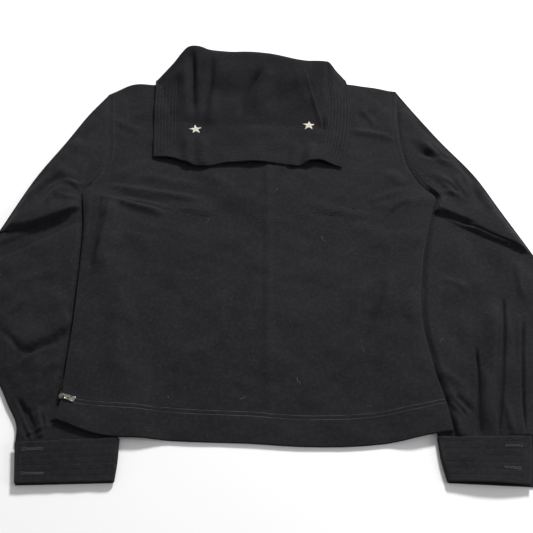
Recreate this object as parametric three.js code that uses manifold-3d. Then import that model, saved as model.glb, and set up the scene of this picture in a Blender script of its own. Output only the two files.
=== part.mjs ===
// A sailor's jumper in heavy woven wool, laid flat on a table with its back upwards.
// Millimetres, +Z up. X runs across the body, +Y from the hem to the neck, and the table is z = 0.
// The origin is on the table under the middle of the whole garment.
import * as THREE from "three";
import Module from "manifold-3d";
import { mergeVertices } from "three/addons/utils/BufferGeometryUtils.js";

// Cloth and the room that the layers leave each other
const CLOTH = 1.6;
const COLLAR_CLOTH = 2.6;
const CUFF_CLOTH = 2.2;
const SEAM = 0.7;
const LAYER = 0.5;
const COLLAR_REST = 0.6;

// How far what lies underneath lifts the front panel
const OVER_SLEEVE = 5.8;
const OVER_LAPEL = 3.2;

const clamp = (value) => Math.min(1, Math.max(0, value));
const ease = (value) => clamp(value) ** 2 * (3 - 2 * clamp(value));
const mix = (from, to, share) => from + (to - from) * share;

// A table is a line of column names and a row of values for each place or fold.
function table(columns, ...rows) {
  const names = columns.split(" ");
  return rows.map((values, step) => {
    const row = { step };
    names.forEach((name, i) => (row[name] = values[i]));
    return row;
  });
}

// Reads a column at a place between two rows, along a smooth curve through all the rows.
function read(rows, key, place, column) {
  const last = rows.length - 1;
  let i = 0;
  while (i < last - 1 && rows[i + 1][key] < place) i++;
  const slope = (a, b) => (rows[b][column] - rows[a][column]) / (rows[b][key] - rows[a][key]);
  const span = rows[i + 1][key] - rows[i][key];
  const straight = slope(i, i + 1);
  const before = i > 0 ? slope(i - 1, i + 1) : straight;
  const after = i + 1 < last ? slope(i, i + 2) : straight;
  const t = clamp((place - rows[i][key]) / span);
  const bend = span * t * (1 - t) * (before * (1 - t) - after * t);
  return mix(rows[i][column], rows[i + 1][column], ease(t)) + bend;
}

// Outline of the body. The side tables run from the hem, past the pit of the arm, to the shoulder.
const LEFT_SIDE = table("y x",
  [-282, -244], [-252, -240], [-212, -240], [-137, -239], [-56, -241], [13, -243.5],
  [64, -250], [89, -253], [104, -240], [124, -230], [164, -226], [224, -231], [287, -237]);
const RIGHT_SIDE = table("y x",
  [-297, 233], [-256, 228], [-212, 219], [-137, 211], [-56, 219], [13, 234],
  [54, 246], [72, 250], [89, 238], [104, 228], [144, 214], [214, 209], [294, 213]);
const PIT_ROW = 7;
const HEM = table("x y",
  [-244, -282], [-189, -302], [-129, -306], [-69, -309], [-10, -311],
  [50, -315], [109, -315], [169, -309], [217, -299], [233, -297]);
const SHOULDERS = table("x y",
  [-237, 287], [-204, 305], [-157, 308], [-100, 315], [-50, 303],
  [-2, 300], [48, 303], [98, 315], [144, 307], [213, 294]);
const NECK = { left: -100, right: 98, top: 315, point: { x: -2, y: 84 } };

// The sleeves: one row for each section, from its inner end, at the body, to its outer end.
// armhole is the share of the armhole's own curve, sag a bend along the sleeve,
// flat the height of the pressed sleeve and puff what stands up outside the body.
const LEFT_SLEEVE = table("inX inY outX outY armhole sag flat puff",
  [-253, 89, -237, 287, 1, 0, 4, 0],
  [-256.5, 80, -262, 243, 0.25, 0, 4.2, 3],
  [-253, 71, -289, 185, 0.1, 0, 4.6, 5],
  [-250.6, 65, -326, 110, 0.1, -2, 4.4, 6],
  [-248.4, 60, -360, 17, 0, -11, 4.4, 6],
  [-246, 54, -364, 7, 0, -11, 4.4, 3],
  [-242, 36, -373, -38, 0, -4, 4.6, 3],
  [-236, 0, -380, -85, 0, 0, 5, 3.5],
  [-230, -50, -382, -124, 0, 0, 5, 4],
  [-219, -105, -370, -165, 0, 0, 5, 4],
  [-208, -155, -348, -202, 0, 0, 5, 4],
  [-197, -202, -323, -228, 0, 0, 5, 4],
  [-185, -243, -305, -260, 0, 0, 5, 4],
  [-175, -276, -291, -286, 0, 0, 5, 3],
  [-166, -305, -288, -311, 0, 0, 5, 2.6]);
const RIGHT_SLEEVE = table("inX inY outX outY armhole sag flat puff",
  [250, 72, 213, 294, 1, 0, 4, 0],
  [250.8, 67, 240, 240, 0.2, 0, 4.2, 3],
  [249.6, 62, 271, 184, 0.1, 0, 4.2, 5],
  [247.4, 58, 312, 117, 0.1, 0, 4.4, 6],
  [245.4, 55, 342, 46, 0, 4, 4.4, 6],
  [243.2, 50, 372, -26, 0, 3, 4.4, 6],
  [240.6, 43, 375, -37, 0, 3, 4.6, 3],
  [234.5, 26, 380, -75, 0, 0, 5, 3],
  [223, -10, 384, -112, 0, 0, 5, 3.5],
  [210, -60, 383, -148, 0, 0, 5, 4],
  [204, -108, 376, -184, 0, 0, 5, 4],
  [202, -157, 366, -219, 0, 0, 5, 4],
  [202, -207, 355, -249, 0, 0, 5, 4],
  [206, -255, 345, -276, 0, 0, 5, 3],
  [214, -303, 341, -303, 0, 0, 5, 2.6]);

// Folds: a ridge along a bowed line, height high, that falls away over the widths
// to the left and to the right of the way it runs, and dies out over fade of its length.
const FOLDS = "x1 y1 x2 y2 bow height left right fade";
const BODY_FOLDS = table(FOLDS,
  [-245, 84, -243, -70, 2, 3.2, 8, 14, 0.25],
  [-222, 88, -216, -40, 0, 3, 60, 9, 0.3],
  [-238, 86, -130, 62, 4, 2.6, 26, 26, 0.3],
  [-38, -80, -40, -160, -2, 2.2, 14, 28, 0.4],
  [180, 0, 104, -182, 12, 3, 34, 16, 0.35],
  [-82, -168, -118, -238, 0, 2.2, 16, 24, 0.4],
  [232, 76, 150, 30, -6, 2.4, 26, 20, 0.35],
  [-214, 268, -158, 236, 0, 2.6, 30, 22, 0.4],
  [196, 262, 150, 236, 0, 2.4, 24, 30, 0.4]);
const LEFT_SLEEVE_FOLDS = table(FOLDS,
  [-250, 62, -366, 14, 11, 7, 7, 58, 0.06],
  [-250, -80, -308, -160, 0, 4.5, 12, 34, 0.3],
  [-338, -132, -300, -96, 0, 3, 18, 9, 0.35],
  [-252, -309, -272, -258, 0, 3, 8, 9, 0.25],
  [-226, -306, -234, -262, 0, 2.4, 8, 8, 0.3],
  [-276, -310, -300, -266, 0, 2.6, 7, 8, 0.3],
  [-264, 92, -306, 70, 4, 2.4, 9, 12, 0.3]);
const RIGHT_SLEEVE_FOLDS = table(FOLDS,
  [248, 62, 376, -28, -4, 7, 58, 7, 0.06],
  [322, -96, 283, -302, -4, 6, 7, 30, 0.18],
  [276, -222, 262, -302, 0, 3, 12, 14, 0.25],
  [226, -236, 260, -276, 0, 4, 16, 8, 0.3],
  [270, 112, 278, 58, -10, 4, 9, 13, 0.3]);

function foldHeight(fold, x, y) {
  const alongX = fold.x2 - fold.x1;
  const alongY = fold.y2 - fold.y1;
  const length = Math.hypot(alongX, alongY);
  const t = ((x - fold.x1) * alongX + (y - fold.y1) * alongY) / length ** 2;
  const aside = ((y - fold.y1) * alongX - (x - fold.x1) * alongY) / length - fold.bow * 4 * t * (1 - t);
  const ends = ease(t / fold.fade) * ease((1 - t) / fold.fade);
  const width = aside > 0 ? fold.left : fold.right;
  return fold.height * ends * ease(1 - Math.abs(aside) / width);
}

const foldsAt = (folds, x, y) => folds.reduce((sum, fold) => sum + foldHeight(fold, x, y), 0);

// Heights of the body's layers. PLATEAU is how far a lift reaches past what it covers,
// and SLOPE the width over which the cloth comes down again.
const PLATEAU = 20;
const SLOPE = 45;
const LIFT_TOP = 100;
const innerEdge = (sleeve) => sleeve.map(({ inX, inY }) => ({ y: inY, x: inX })).reverse();
const LEFT_INNER = innerEdge(LEFT_SLEEVE);
const RIGHT_INNER = innerEdge(RIGHT_SLEEVE);

// The lapels lie under the front panel and widen in a straight line from the point of the neck.
const LAPEL = { start: 14, leftSpread: 0.66, rightSpread: 0.58, top: 277 };
const lapelEdge = (y, spread) => LAPEL.start + spread * (y - NECK.point.y);

function sleeveLift(x, y) {
  const fromLeft = read(LEFT_INNER, "y", y, "x") + PLATEAU + SLOPE - x;
  const fromRight = x - (read(RIGHT_INNER, "y", y, "x") - PLATEAU - SLOPE);
  return OVER_SLEEVE * ease(Math.max(fromLeft, fromRight) / SLOPE) * ease((LIFT_TOP - y) / SLOPE);
}

function lapelLift(x, y) {
  const sideways = lapelEdge(y, LAPEL.leftSpread) + PLATEAU + SLOPE - Math.abs(x - NECK.point.x);
  return OVER_LAPEL * ease(sideways / SLOPE) * ease((y - NECK.point.y + PLATEAU + SLOPE) / SLOPE);
}

// The zip in the left side seam parts the layers a little more.
const ZIP = { bottom: -262, top: -92, width: 11, tape: 0.8, gap: 0.3, peek: 5.5 };
const zipReach = (y) => ease((ZIP.top + 25 - y) / 25);
const frontPeek = (y) => ZIP.peek * ease((-212 - y) / 32);

const frontBottom = (x, y) => sleeveLift(x, y) + lapelLift(x, y);
const frontTop = (x, y) => frontBottom(x, y) + CLOTH;

// The collar holds the back of the neck open.
const NECK_RISE = { height: 4, from: 236, width: 60, reach: 118 };

function backBottom(x, y) {
  const zipLift = 0.9 * zipReach(y) * ease((read(LEFT_SIDE, "y", y, "x") + 50 - x) / 30);
  const neckward = ease((y - NECK_RISE.from) / NECK_RISE.width);
  const neckRise = NECK_RISE.height * neckward * ease((NECK_RISE.reach - Math.abs(x - NECK.point.x)) / NECK_RISE.width);
  return frontTop(x, y) + LAYER + zipLift + neckRise + foldsAt(BODY_FOLDS, x, y);
}

const backTop = (x, y) => backBottom(x, y) + CLOTH;

// Closed walls between two grids of points, [row][column]. A ring's last column joins its first.
function wall(outer, inner, ring = false) {
  const rows = outer.length;
  const columns = outer[0].length;
  const spans = ring ? columns : columns - 1;
  const index = [];
  const at = (side, i, j) => (side * rows + i) * columns + (j % columns);
  const quad = (a, b, c, d) => index.push(a, b, c, a, c, d);
  for (let i = 0; i < rows - 1; i++) {
    for (let j = 0; j < spans; j++) {
      quad(at(0, i, j), at(0, i, j + 1), at(0, i + 1, j + 1), at(0, i + 1, j));
      quad(at(1, i, j), at(1, i + 1, j), at(1, i + 1, j + 1), at(1, i, j + 1));
    }
    if (!ring) {
      quad(at(1, i + 1, 0), at(1, i, 0), at(0, i, 0), at(0, i + 1, 0));
      quad(at(1, i, spans), at(1, i + 1, spans), at(0, i + 1, spans), at(0, i, spans));
    }
  }
  for (let j = 0; j < spans; j++) {
    quad(at(1, 0, j), at(1, 0, j + 1), at(0, 0, j + 1), at(0, 0, j));
    quad(at(1, rows - 1, j + 1), at(1, rows - 1, j), at(0, rows - 1, j), at(0, rows - 1, j + 1));
  }
  return facingOut([...outer, ...inner].flat(), index);
}

// Turns a closed mesh that came out inside out, as the mirrored side of the garment does.
function facingOut(points, index) {
  let volume = 0;
  for (let i = 0; i < index.length; i += 3) {
    const [a, b, c] = [0, 1, 2].map((k) => points[index[i + k]]);
    volume += a.dot(b.clone().cross(c));
  }
  const geometry = new THREE.BufferGeometry().setFromPoints(points);
  geometry.setIndex(volume > 0 ? index : index.reverse());
  return geometry;
}

// A cloth of one thickness round a grid of middle points, nowhere below the table
function sheet(grid, thickness) {
  const rows = grid.length - 1;
  const columns = grid[0].length - 1;
  const outer = [];
  const inner = [];
  grid.forEach((row, i) => {
    const normals = row.map((_, j) => {
      const across = row[Math.min(j + 1, columns)].clone().sub(row[Math.max(j - 1, 0)]);
      const along = grid[Math.min(i + 1, rows)][j].clone().sub(grid[Math.max(i - 1, 0)][j]);
      return across.cross(along).normalize().multiplyScalar(thickness / 2);
    });
    const onTable = (point) => point.setZ(Math.max(0, point.z));
    outer.push(row.map((point, j) => onTable(point.clone().add(normals[j]))));
    inner.push(row.map((point, j) => onTable(point.clone().sub(normals[j]))));
  });
  return wall(outer, inner);
}

// Joins and cuts of closed solids
const wasm = await Module();
wasm.setup();

function toSolid(geometry) {
  const plain = geometry.clone();
  plain.deleteAttribute("normal");
  plain.deleteAttribute("uv");
  const merged = mergeVertices(plain, 1e-4);
  return new wasm.Manifold(new wasm.Mesh({
    numProp: 3,
    vertProperties: new Float32Array(merged.attributes.position.array),
    triVerts: new Uint32Array(merged.index.array),
  }));
}

function toGeometry(solid) {
  const { vertProperties, triVerts } = solid.getMesh();
  const geometry = new THREE.BufferGeometry();
  geometry.setAttribute("position", new THREE.BufferAttribute(vertProperties, 3));
  geometry.setIndex(new THREE.BufferAttribute(triVerts, 1));
  return geometry;
}

const join = (...geometries) => toGeometry(geometries.map(toSolid).reduce((sum, part) => sum.add(part)));
const cut = (geometry, tool) => toGeometry(toSolid(geometry).subtract(toSolid(tool)));

// A flat plate from its outline, standing on z = bottom
function plate(outline, bottom, thickness) {
  const shape = new THREE.Shape(outline.map(([x, y]) => new THREE.Vector2(x, y)));
  const geometry = new THREE.ExtrudeGeometry(shape, { depth: thickness, bevelEnabled: false });
  return geometry.translate(0, 0, bottom);
}

// The body's two panels share one net of places, stretched between the hem, the sides
// and the shoulders, and closer together near the sides.
const BODY_COLUMNS = 24;
const BODY_ROWS = 24;
const PIT_SHARE = 16 / BODY_ROWS;
const closerAtSides = (share) => share - 0.075 * Math.sin(2 * Math.PI * share);

const first = (rows) => rows[0];
const last = (rows) => rows[rows.length - 1];

// The height of a side at a share of its rows, with a row of the net at the pit
function sideY(side, share) {
  const pit = side[PIT_ROW].y;
  return share < PIT_SHARE
    ? mix(first(side).y, pit, share / PIT_SHARE)
    : mix(pit, last(side).y, (share - PIT_SHARE) / (1 - PIT_SHARE));
}

function bodyPlace(u, v) {
  const side = (rows) => {
    const y = sideY(rows, v);
    return { x: read(rows, "y", y, "x"), y };
  };
  const end = (rows) => {
    const x = mix(first(rows).x, last(rows).x, u);
    return { x, y: read(rows, "x", x, "y") };
  };
  const [left, right, bottom, top] = [side(LEFT_SIDE), side(RIGHT_SIDE), end(HEM), end(SHOULDERS)];
  const blend = (axis) => {
    const corners = mix(
      mix(first(LEFT_SIDE)[axis], first(RIGHT_SIDE)[axis], u),
      mix(last(LEFT_SIDE)[axis], last(RIGHT_SIDE)[axis], u), v);
    return mix(left[axis], right[axis], u) + mix(bottom[axis], top[axis], v) - corners;
  };
  return { x: blend("x"), y: blend("y") };
}

function bodyPanel(bottomAt, thickness, sideShift = () => 0) {
  const layer = (raise) => Array.from({ length: BODY_ROWS + 1 }, (_, i) =>
    Array.from({ length: BODY_COLUMNS + 1 }, (_, j) => {
      const { x, y } = bodyPlace(closerAtSides(j / BODY_COLUMNS), i / BODY_ROWS);
      const z = bottomAt(x, y) + raise;
      return new THREE.Vector3(j === 0 ? x - sideShift(y) : x, y, z);
    }));
  return wall(layer(thickness), layer(0));
}

// The front is cut away in a V between the lapels.
function frontPanel() {
  const { left, right, top, point } = NECK;
  const above = 1.1;
  const reach = (side) => [mix(point.x, side, above), mix(point.y, top, above)];
  const neck = plate([[point.x, point.y], reach(right), reach(left)], -5, 30);
  return cut(bodyPanel(frontBottom, CLOTH, frontPeek), neck);
}

// Sleeves are flattened tubes. Each ring goes over the top from the inner to the outer end
// and comes back flat on the table.
const SLEEVE_SECTIONS = 28;
const TOP_PLACES = [0.02, 0.06, 0.13, 0.22, 0.31, 0.4, 0.48, 0.55, 0.61, 0.66, 0.71, 0.76, 0.82, 0.89, 0.95, 0.98];
const UNDER_PLACES = [0.98, 0.8, 0.55, 0.3, 0.1, 0.02];
const SLEEVE_RISE = 40;

// The body's side as its panels have it, in straight steps from row to row
function bodySide(side, y) {
  let row = 0;
  while (row < BODY_ROWS - 1 && sideY(side, (row + 1) / BODY_ROWS) < y) row++;
  const [from, to] = [row, row + 1].map((i) => sideY(side, i / BODY_ROWS));
  return mix(read(side, "y", from, "x"), read(side, "y", to, "x"), (y - from) / (to - from));
}

function sleevePlace(sleeve, side, outward, k, w) {
  const at = (column) => read(sleeve, "step", k, column);
  const [inX, inY, outX, outY] = ["inX", "inY", "outX", "outY"].map(at);
  const [pit, tip] = [sleeve[0].inY, sleeve[0].outY];
  const straight = mix(sleeve[0].inX, sleeve[0].outX, w);
  const curve = (bodySide(side, mix(pit, tip, w)) - straight) * at("armhole");
  const length = Math.hypot(outX - inX, outY - inY);
  const bend = (at("sag") * 4 * w * (1 - w) * outward) / length;
  return {
    x: mix(inX, outX, w) + curve + outward * SEAM - (outY - inY) * bend,
    y: mix(inY, outY, w) + (outX - inX) * bend,
  };
}

function sleeve(rows, side, folds, outward) {
  const outside = (x, y) => ease((outward * (x - read(side, "y", y, "x")) - 6) / SLEEVE_RISE);
  const rings = Array.from({ length: SLEEVE_SECTIONS + 1 }, (_, i) => {
    const k = (i / SLEEVE_SECTIONS) * (rows.length - 1);
    const flat = read(rows, "step", k, "flat");
    const puff = read(rows, "step", k, "puff");
    const place = (w) => sleevePlace(rows, side, outward, k, w);
    const ends = [place(0), place(1)];
    const inset = (1.5 * CLOTH) / Math.hypot(ends[1].x - ends[0].x, ends[1].y - ends[0].y);
    const within = (w) => mix(inset, 1 - inset, w);
    const soft = (x, y, w) => flat + puff * outside(x, y) * ease(5 * (1 - w));
    const over = (w, depth, folded) => {
      const { x, y } = place(depth ? within(w) : w);
      const height = soft(x, y, w) + (folded ? outside(x, y) * ease(8 * (1 - w)) * foldsAt(folds, x, y) : 0);
      return new THREE.Vector3(x, y, height - depth);
    };
    const under = (w, depth) => {
      const { x, y } = place(depth ? within(w) : w);
      return new THREE.Vector3(x, y, depth);
    };
    const end = (w, depth) => under(w, depth).setZ(flat / 2);
    const ring = (depth, folded) => [
      end(0, depth),
      ...TOP_PLACES.map((w) => over(w, depth, folded)),
      end(1, depth),
      ...UNDER_PLACES.map((w) => under(w, depth)),
    ];
    return { outer: ring(0, true), inner: ring(CLOTH, false) };
  });
  return wall(rings.map((ring) => ring.outer), rings.map((ring) => ring.inner), true);
}

// Cuffs are doubled bands that go round a fold at one side and end open at the other.
// A row gives the inner and outer ends of the band at the sleeve, half way and at the mouth.
const LEFT_CUFF = table("inX inY outX outY",
  [-165, -305.6, -288.5, -311.8], [-164.5, -334, -284.5, -339], [-166, -361, -281, -364]);
const RIGHT_CUFF = table("inX inY outX outY",
  [213, -304, 326, -303.6], [214.5, -333, 321, -335], [219, -361, 315, -366]);
const CUFF_SPACE = 3.6;
const CUFF_ROWS = 4;
const CUFF_ARC = 6;
const UNDERLAP = 17;

function cuff(rows, underlap, mouthLift) {
  const middle = CUFF_CLOTH + CUFF_SPACE / 2;
  const radius = (CUFF_SPACE + CUFF_CLOTH) / 2;
  const grid = Array.from({ length: CUFF_ROWS + 1 }, (_, i) => {
    const k = (i / CUFF_ROWS) * (rows.length - 1);
    const [inX, inY, outX, outY] = ["inX", "inY", "outX", "outY"].map((name) => read(rows, "step", k, name));
    const length = Math.hypot(outX - inX, outY - inY);
    const place = (distance, z) => {
      const share = distance / length;
      return new THREE.Vector3(mix(inX, outX, share), mix(inY, outY, share), z);
    };
    const start = radius + CUFF_CLOTH / 2;
    const rise = mouthLift * (i / CUFF_ROWS) ** 2;
    const flatPlaces = [1, 0.75, 0.5, 0.25].map((share) => mix(start, length, share));
    const lower = flatPlaces.map((d) => place(d + underlap * ((d - start) / (length - start)), CUFF_CLOTH / 2));
    const upper = flatPlaces.reverse().map((d) => {
      const bulge = Math.sin((Math.PI * (d - start)) / (length - start));
      return place(d, middle + radius + rise * Math.max(0, bulge));
    });
    const arc = Array.from({ length: CUFF_ARC + 1 }, (_, j) => {
      const angle = (Math.PI * j) / CUFF_ARC;
      return place(start - radius * Math.sin(angle), middle - radius * Math.cos(angle));
    });
    return [...lower, ...arc, ...upper];
  });
  return sheet(grid, CUFF_CLOTH);
}

// The collar is one doubled cloth that goes all round the neck. Each row is a section of it:
// from its outer edge, up to the fold at the top of the neck and down to the neck seam.
// over is 0 where the edge lies under the front panel and 1 where it lies on the back,
// lies is the share of the way to the fold that lies flat, round is the radius of the fold,
// and turn is the way the collar faces there, from under (180) over the shoulder to up (0).
const COLLAR = table("edgeX edgeY over lies foldX foldY foldZ round turn seamX seamY",
  [-131, 262, 0, 0.85, -99, 324, 3.2, 1.9, -180, -97, 319],
  [-140, 277, 0, 0.6, -102, 340, 9, 2.6, -172, -95.5, 320],
  [-149, 293, 0, 0.36, -105, 353, 17, 3.6, -150, -94, 321],
  [-158, 312, 0, 0.12, -107.5, 361, 23, 4.4, -115, -92, 321.5],
  [-162, 313, 0.5, 0.06, -108, 365, 26, 5, -85, -90, 321.5],
  [-164, 310, 1, 0.06, -107, 367, 28, 5.4, -55, -87, 320.5],
  [-163, 285, 1, 0.15, -103, 369, 29, 5.6, -25, -82, 318.5],
  [-162, 250, 1, 0.3, -97, 369, 29, 5.8, -8, -76, 315],
  [-160, 205, 1, 0.42, -90, 366, 29, 6, 0, -69, 311],
  [-157, 152, 1, 0.56, -80, 361, 28.5, 6, 0, -60, 307.5],
  [-126, 147, 1, 0.58, -62, 358, 28, 6, 0, -47, 304.6],
  [-88, 131, 1, 0.6, -44, 356, 28, 6, 0, -33, 302.6],
  [-50, 136, 1, 0.6, -24, 356, 28.5, 6, 0, -18, 301.4],
  [-14, 137.5, 1, 0.6, -4, 355, 28.5, 6, 0, -3, 301],
  [20, 136, 1, 0.6, 16, 352, 28, 6, 0, 12, 301.2],
  [56, 131, 1, 0.62, 34, 347, 27.5, 6, 0, 28, 302.2],
  [86, 140, 1, 0.62, 50, 342, 27.5, 6, 0, 42, 304],
  [120, 131, 1, 0.6, 66, 338, 27.5, 6, 0, 57, 306.8],
  [130, 172, 1, 0.5, 76, 336, 27.5, 5.8, 0, 67, 310],
  [137, 215, 1, 0.4, 85, 335, 28, 5.6, 4, 75, 314],
  [140, 258, 1, 0.25, 92, 334, 28, 5.4, 15, 82, 317.5],
  [139, 287, 1, 0.15, 97, 334, 27, 5, 35, 87, 319.5],
  [135, 311.5, 1, 0.06, 100, 335, 25, 4.8, 60, 90, 320.5],
  [133, 313, 0.5, 0.06, 101, 335, 22, 4.4, 90, 92, 320.5],
  [130, 312.5, 0, 0.1, 101, 333, 17, 3.6, 120, 93, 320],
  [132, 292, 0, 0.64, 100, 331, 10, 2.6, 160, 94.5, 319.5],
  [121, 270, 0, 0.82, 98, 325, 3.2, 1.9, 180, 96, 319]);
// Waves of the flap's free edge
const FLAP_WAVES = table("x width height", [-130, 44, 5], [-16, 64, 4], [88, 32, 5.5], [140, 24, 2]);
const WAVE_FROM = 128;
const WAVE_TO = 190;
const FLAP_PLACES = 6;
const FOLD_PLACES = 10;
const COLLAR_SECTIONS = 2;

function flapLevel(x, y) {
  const waves = FLAP_WAVES.reduce((sum, wave) => sum + wave.height * ease(1 - Math.abs(x - wave.x) / wave.width), 0);
  const nearEdge = ease((WAVE_TO - y) / (WAVE_TO - WAVE_FROM));
  return backTop(x, y) + COLLAR_REST + COLLAR_CLOTH / 2 + waves * nearEdge;
}

function collarSection(step) {
  const at = (column) => read(COLLAR, "step", step, column);
  const edge = new THREE.Vector2(at("edgeX"), at("edgeY"));
  const fold = new THREE.Vector3(at("foldX"), at("foldY"), at("foldZ"));
  const seamZ = mix(4.4, backBottom(at("seamX"), at("seamY")) + CLOTH / 2, at("over"));
  const seam = new THREE.Vector3(at("seamX"), at("seamY"), seamZ);
  const way = new THREE.Vector3(fold.x - edge.x, fold.y - edge.y, 0).normalize();
  const turn = THREE.MathUtils.degToRad(at("turn"));
  const facing = new THREE.Vector3(way.y * Math.sin(turn), -way.x * Math.sin(turn), Math.cos(turn));
  const round = at("round");
  const behindFold = (side) => fold.clone().addScaledVector(way, -round).addScaledVector(facing, side * round);
  const lying = (share) => {
    const x = mix(edge.x, fold.x, share);
    const y = mix(edge.y, fold.y, share);
    const z = mix(COLLAR_CLOTH / 2, flapLevel(x, y), at("over"));
    return new THREE.Vector3(x, y, z);
  };
  const flap = Array.from({ length: FLAP_PLACES }, (_, i) => lying((at("lies") * i) / (FLAP_PLACES - 1)));
  const stand = behindFold(-1).lerp(seam, 0.55);
  const curve = new THREE.CatmullRomCurve3(
    [flap[flap.length - 1], behindFold(1), fold, behindFold(-1), stand, seam], false, "centripetal");
  return [...flap, ...curve.getPoints(FOLD_PLACES).slice(1)];
}

function lapel(side, spread) {
  const { x, y } = NECK.point;
  const sign = Math.sign(side - x);
  const outer = (at) => [x + sign * lapelEdge(at, spread), at];
  const inner = (at) => [mix(x, side, (at - y) / (NECK.top - y)) + sign, at];
  const outline = [inner(y + 5), outer(y + 2), outer(LAPEL.top), inner(NECK.top - 2)];
  return plate(sign > 0 ? outline.reverse() : outline, 0, COLLAR_CLOTH);
}

function collar() {
  const sections = (COLLAR.length - 1) * COLLAR_SECTIONS;
  const grid = Array.from({ length: sections + 1 }, (_, i) => collarSection(i / COLLAR_SECTIONS));
  return join(
    sheet(grid, COLLAR_CLOTH),
    lapel(NECK.left, LAPEL.leftSpread),
    lapel(NECK.right, LAPEL.rightSpread));
}

// Five-pointed stars of satin stitch, on the flap
const STAR = { tip: 9.8, notch: 4.1, thickness: 0.8, gap: 0.35 };
const STARS = { star_left: { x: -97, y: 205, lean: 8 }, star_right: { x: 74, y: 212, lean: -4 } };

function star({ x, y, lean }) {
  const outline = Array.from({ length: 10 }, (_, i) => {
    const angle = Math.PI / 2 + (i * Math.PI) / 5 + THREE.MathUtils.degToRad(lean);
    const radius = i % 2 ? STAR.notch : STAR.tip;
    return [x + radius * Math.cos(angle), y + radius * Math.sin(angle)];
  });
  return plate(outline, flapLevel(x, y) + COLLAR_CLOTH / 2 + STAR.gap, STAR.thickness);
}

// The zip's tape and teeth run up the left side seam, between the panels.
function sideZip() {
  const steps = 10;
  const layer = (raise) => Array.from({ length: steps + 1 }, (_, i) => {
    const y = mix(ZIP.bottom, ZIP.top, i / steps);
    const edge = read(LEFT_SIDE, "y", y, "x") - frontPeek(y) + 1.2;
    return [0, ZIP.width].map((across) => {
      const x = edge + across;
      return new THREE.Vector3(x, y, frontTop(x, y) + ZIP.gap + raise);
    });
  });
  return wall(layer(ZIP.tape), layer(0));
}

// The slider rests on the back panel's edge, with a lip down to the teeth,
// and carries the pull on a bar. The pull lies to the right, a little down.
const SLIDER = { x: -238, y: -252.5, length: 9, width: 8, base: 1.4, lip: 3.3 };
const BAR = { radius: 0.55, height: 1.7, post: 1.2, span: 5.4 };
const PULL = { length: 17, width: 7, thickness: 1, slot: 0.85, wall: 0.5, wayAcross: -18 };
const seatZ = backTop(SLIDER.x, SLIDER.y) + ZIP.gap;
const barZ = SLIDER.base + BAR.height;

function zipSlider() {
  const { length, width, base, lip } = SLIDER;
  const body = new THREE.Shape();
  const corner = 2;
  body.moveTo(-length / 2 + corner, -width / 2);
  body.lineTo(length / 2 - corner, -width / 2 + 0.8);
  body.quadraticCurveTo(length / 2, -width / 2 + 0.8, length / 2, 0);
  body.quadraticCurveTo(length / 2, width / 2 - 0.8, length / 2 - corner, width / 2 - 0.8);
  body.lineTo(-length / 2 + corner, width / 2);
  body.quadraticCurveTo(-length / 2, width / 2, -length / 2, 0);
  body.quadraticCurveTo(-length / 2, -width / 2, -length / 2 + corner, -width / 2);
  const top = new THREE.ExtrudeGeometry(body, { depth: base, bevelEnabled: false, curveSegments: 4 });
  const leg = new THREE.BoxGeometry(1.2, width - 2, lip).translate(-length / 2 + 0.3, 0, base - lip / 2);
  const posts = [-1, 1].map((side) => new THREE.BoxGeometry(2.2, BAR.post, BAR.height + BAR.radius)
    .translate(0, (side * (BAR.span - BAR.post)) / 2, base + (BAR.height + BAR.radius) / 2 - 0.1));
  const bar = new THREE.CylinderGeometry(BAR.radius, BAR.radius, BAR.span - 0.2, 12).translate(0, 0, barZ);
  return join(top, leg, ...posts, bar);
}

function zipPull() {
  const { length, width, thickness, slot, wall: eyeWall } = PULL;
  const hub = slot + eyeWall;
  const neck = (BAR.span - 2 * BAR.post) / 2 - 0.4;
  const outline = new THREE.Shape();
  outline.moveTo(-hub, -neck);
  outline.lineTo(hub, -neck);
  outline.lineTo(hub + 2.5, -width / 2);
  outline.lineTo(length - 2.5, -width / 2);
  outline.quadraticCurveTo(length - 1, -width / 2, length - 1, 0);
  outline.quadraticCurveTo(length - 1, width / 2, length - 2.5, width / 2);
  outline.lineTo(hub + 2.5, width / 2);
  outline.lineTo(hub, neck);
  outline.lineTo(-hub, neck);
  const flat = new THREE.ExtrudeGeometry(outline, { depth: thickness, bevelEnabled: false, curveSegments: 5 });
  const eye = new THREE.CylinderGeometry(hub, hub, 2 * neck, 16);
  const bore = new THREE.CylinderGeometry(slot, slot, 3 * neck, 16);
  const blade = toSolid(flat.translate(0, 0, -thickness / 2));
  return toGeometry(blade.add(toSolid(eye)).subtract(toSolid(bore)));
}

// Plain four-hole coat buttons, here without the holes, with a raised rim
const BUTTON = { radius: 7, height: 2.8, dish: 0.7, rim: 1.6 };
const BUTTONS = {
  button_left_upper: [-272, -325],
  button_left_lower: [-270, -351],
  button_right_upper: [334, -319],
  button_right_lower: [330, -350],
};

function button() {
  const { radius, height, dish, rim } = BUTTON;
  const profile = [[0, 0], [radius - 1, 0], [radius, 1], [radius, height - 0.5],
    [radius - rim, height], [radius - rim - 0.5, height - dish], [0, height - dish]];
  return new THREE.LatheGeometry(profile.map(([x, y]) => new THREE.Vector2(x, y)), 20).rotateX(Math.PI / 2);
}

// The whole garment
const wool = { color: 0x1d1e27, roughness: 0.95, metalness: 0 };
const thread = { color: 0xe6e2d4, roughness: 0.7, metalness: 0 };
const tape = { color: 0x24242b, roughness: 0.8, metalness: 0 };
const metal = { color: 0x8f8a78, roughness: 0.4, metalness: 0.9 };
const horn = { color: 0x16161a, roughness: 0.35, metalness: 0 };
const garment = new THREE.Group();

function add(name, geometry, finish, parent = garment) {
  const mesh = new THREE.Mesh(geometry, new THREE.MeshStandardMaterial(finish));
  mesh.name = name;
  parent.add(mesh);
  return mesh;
}

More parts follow.
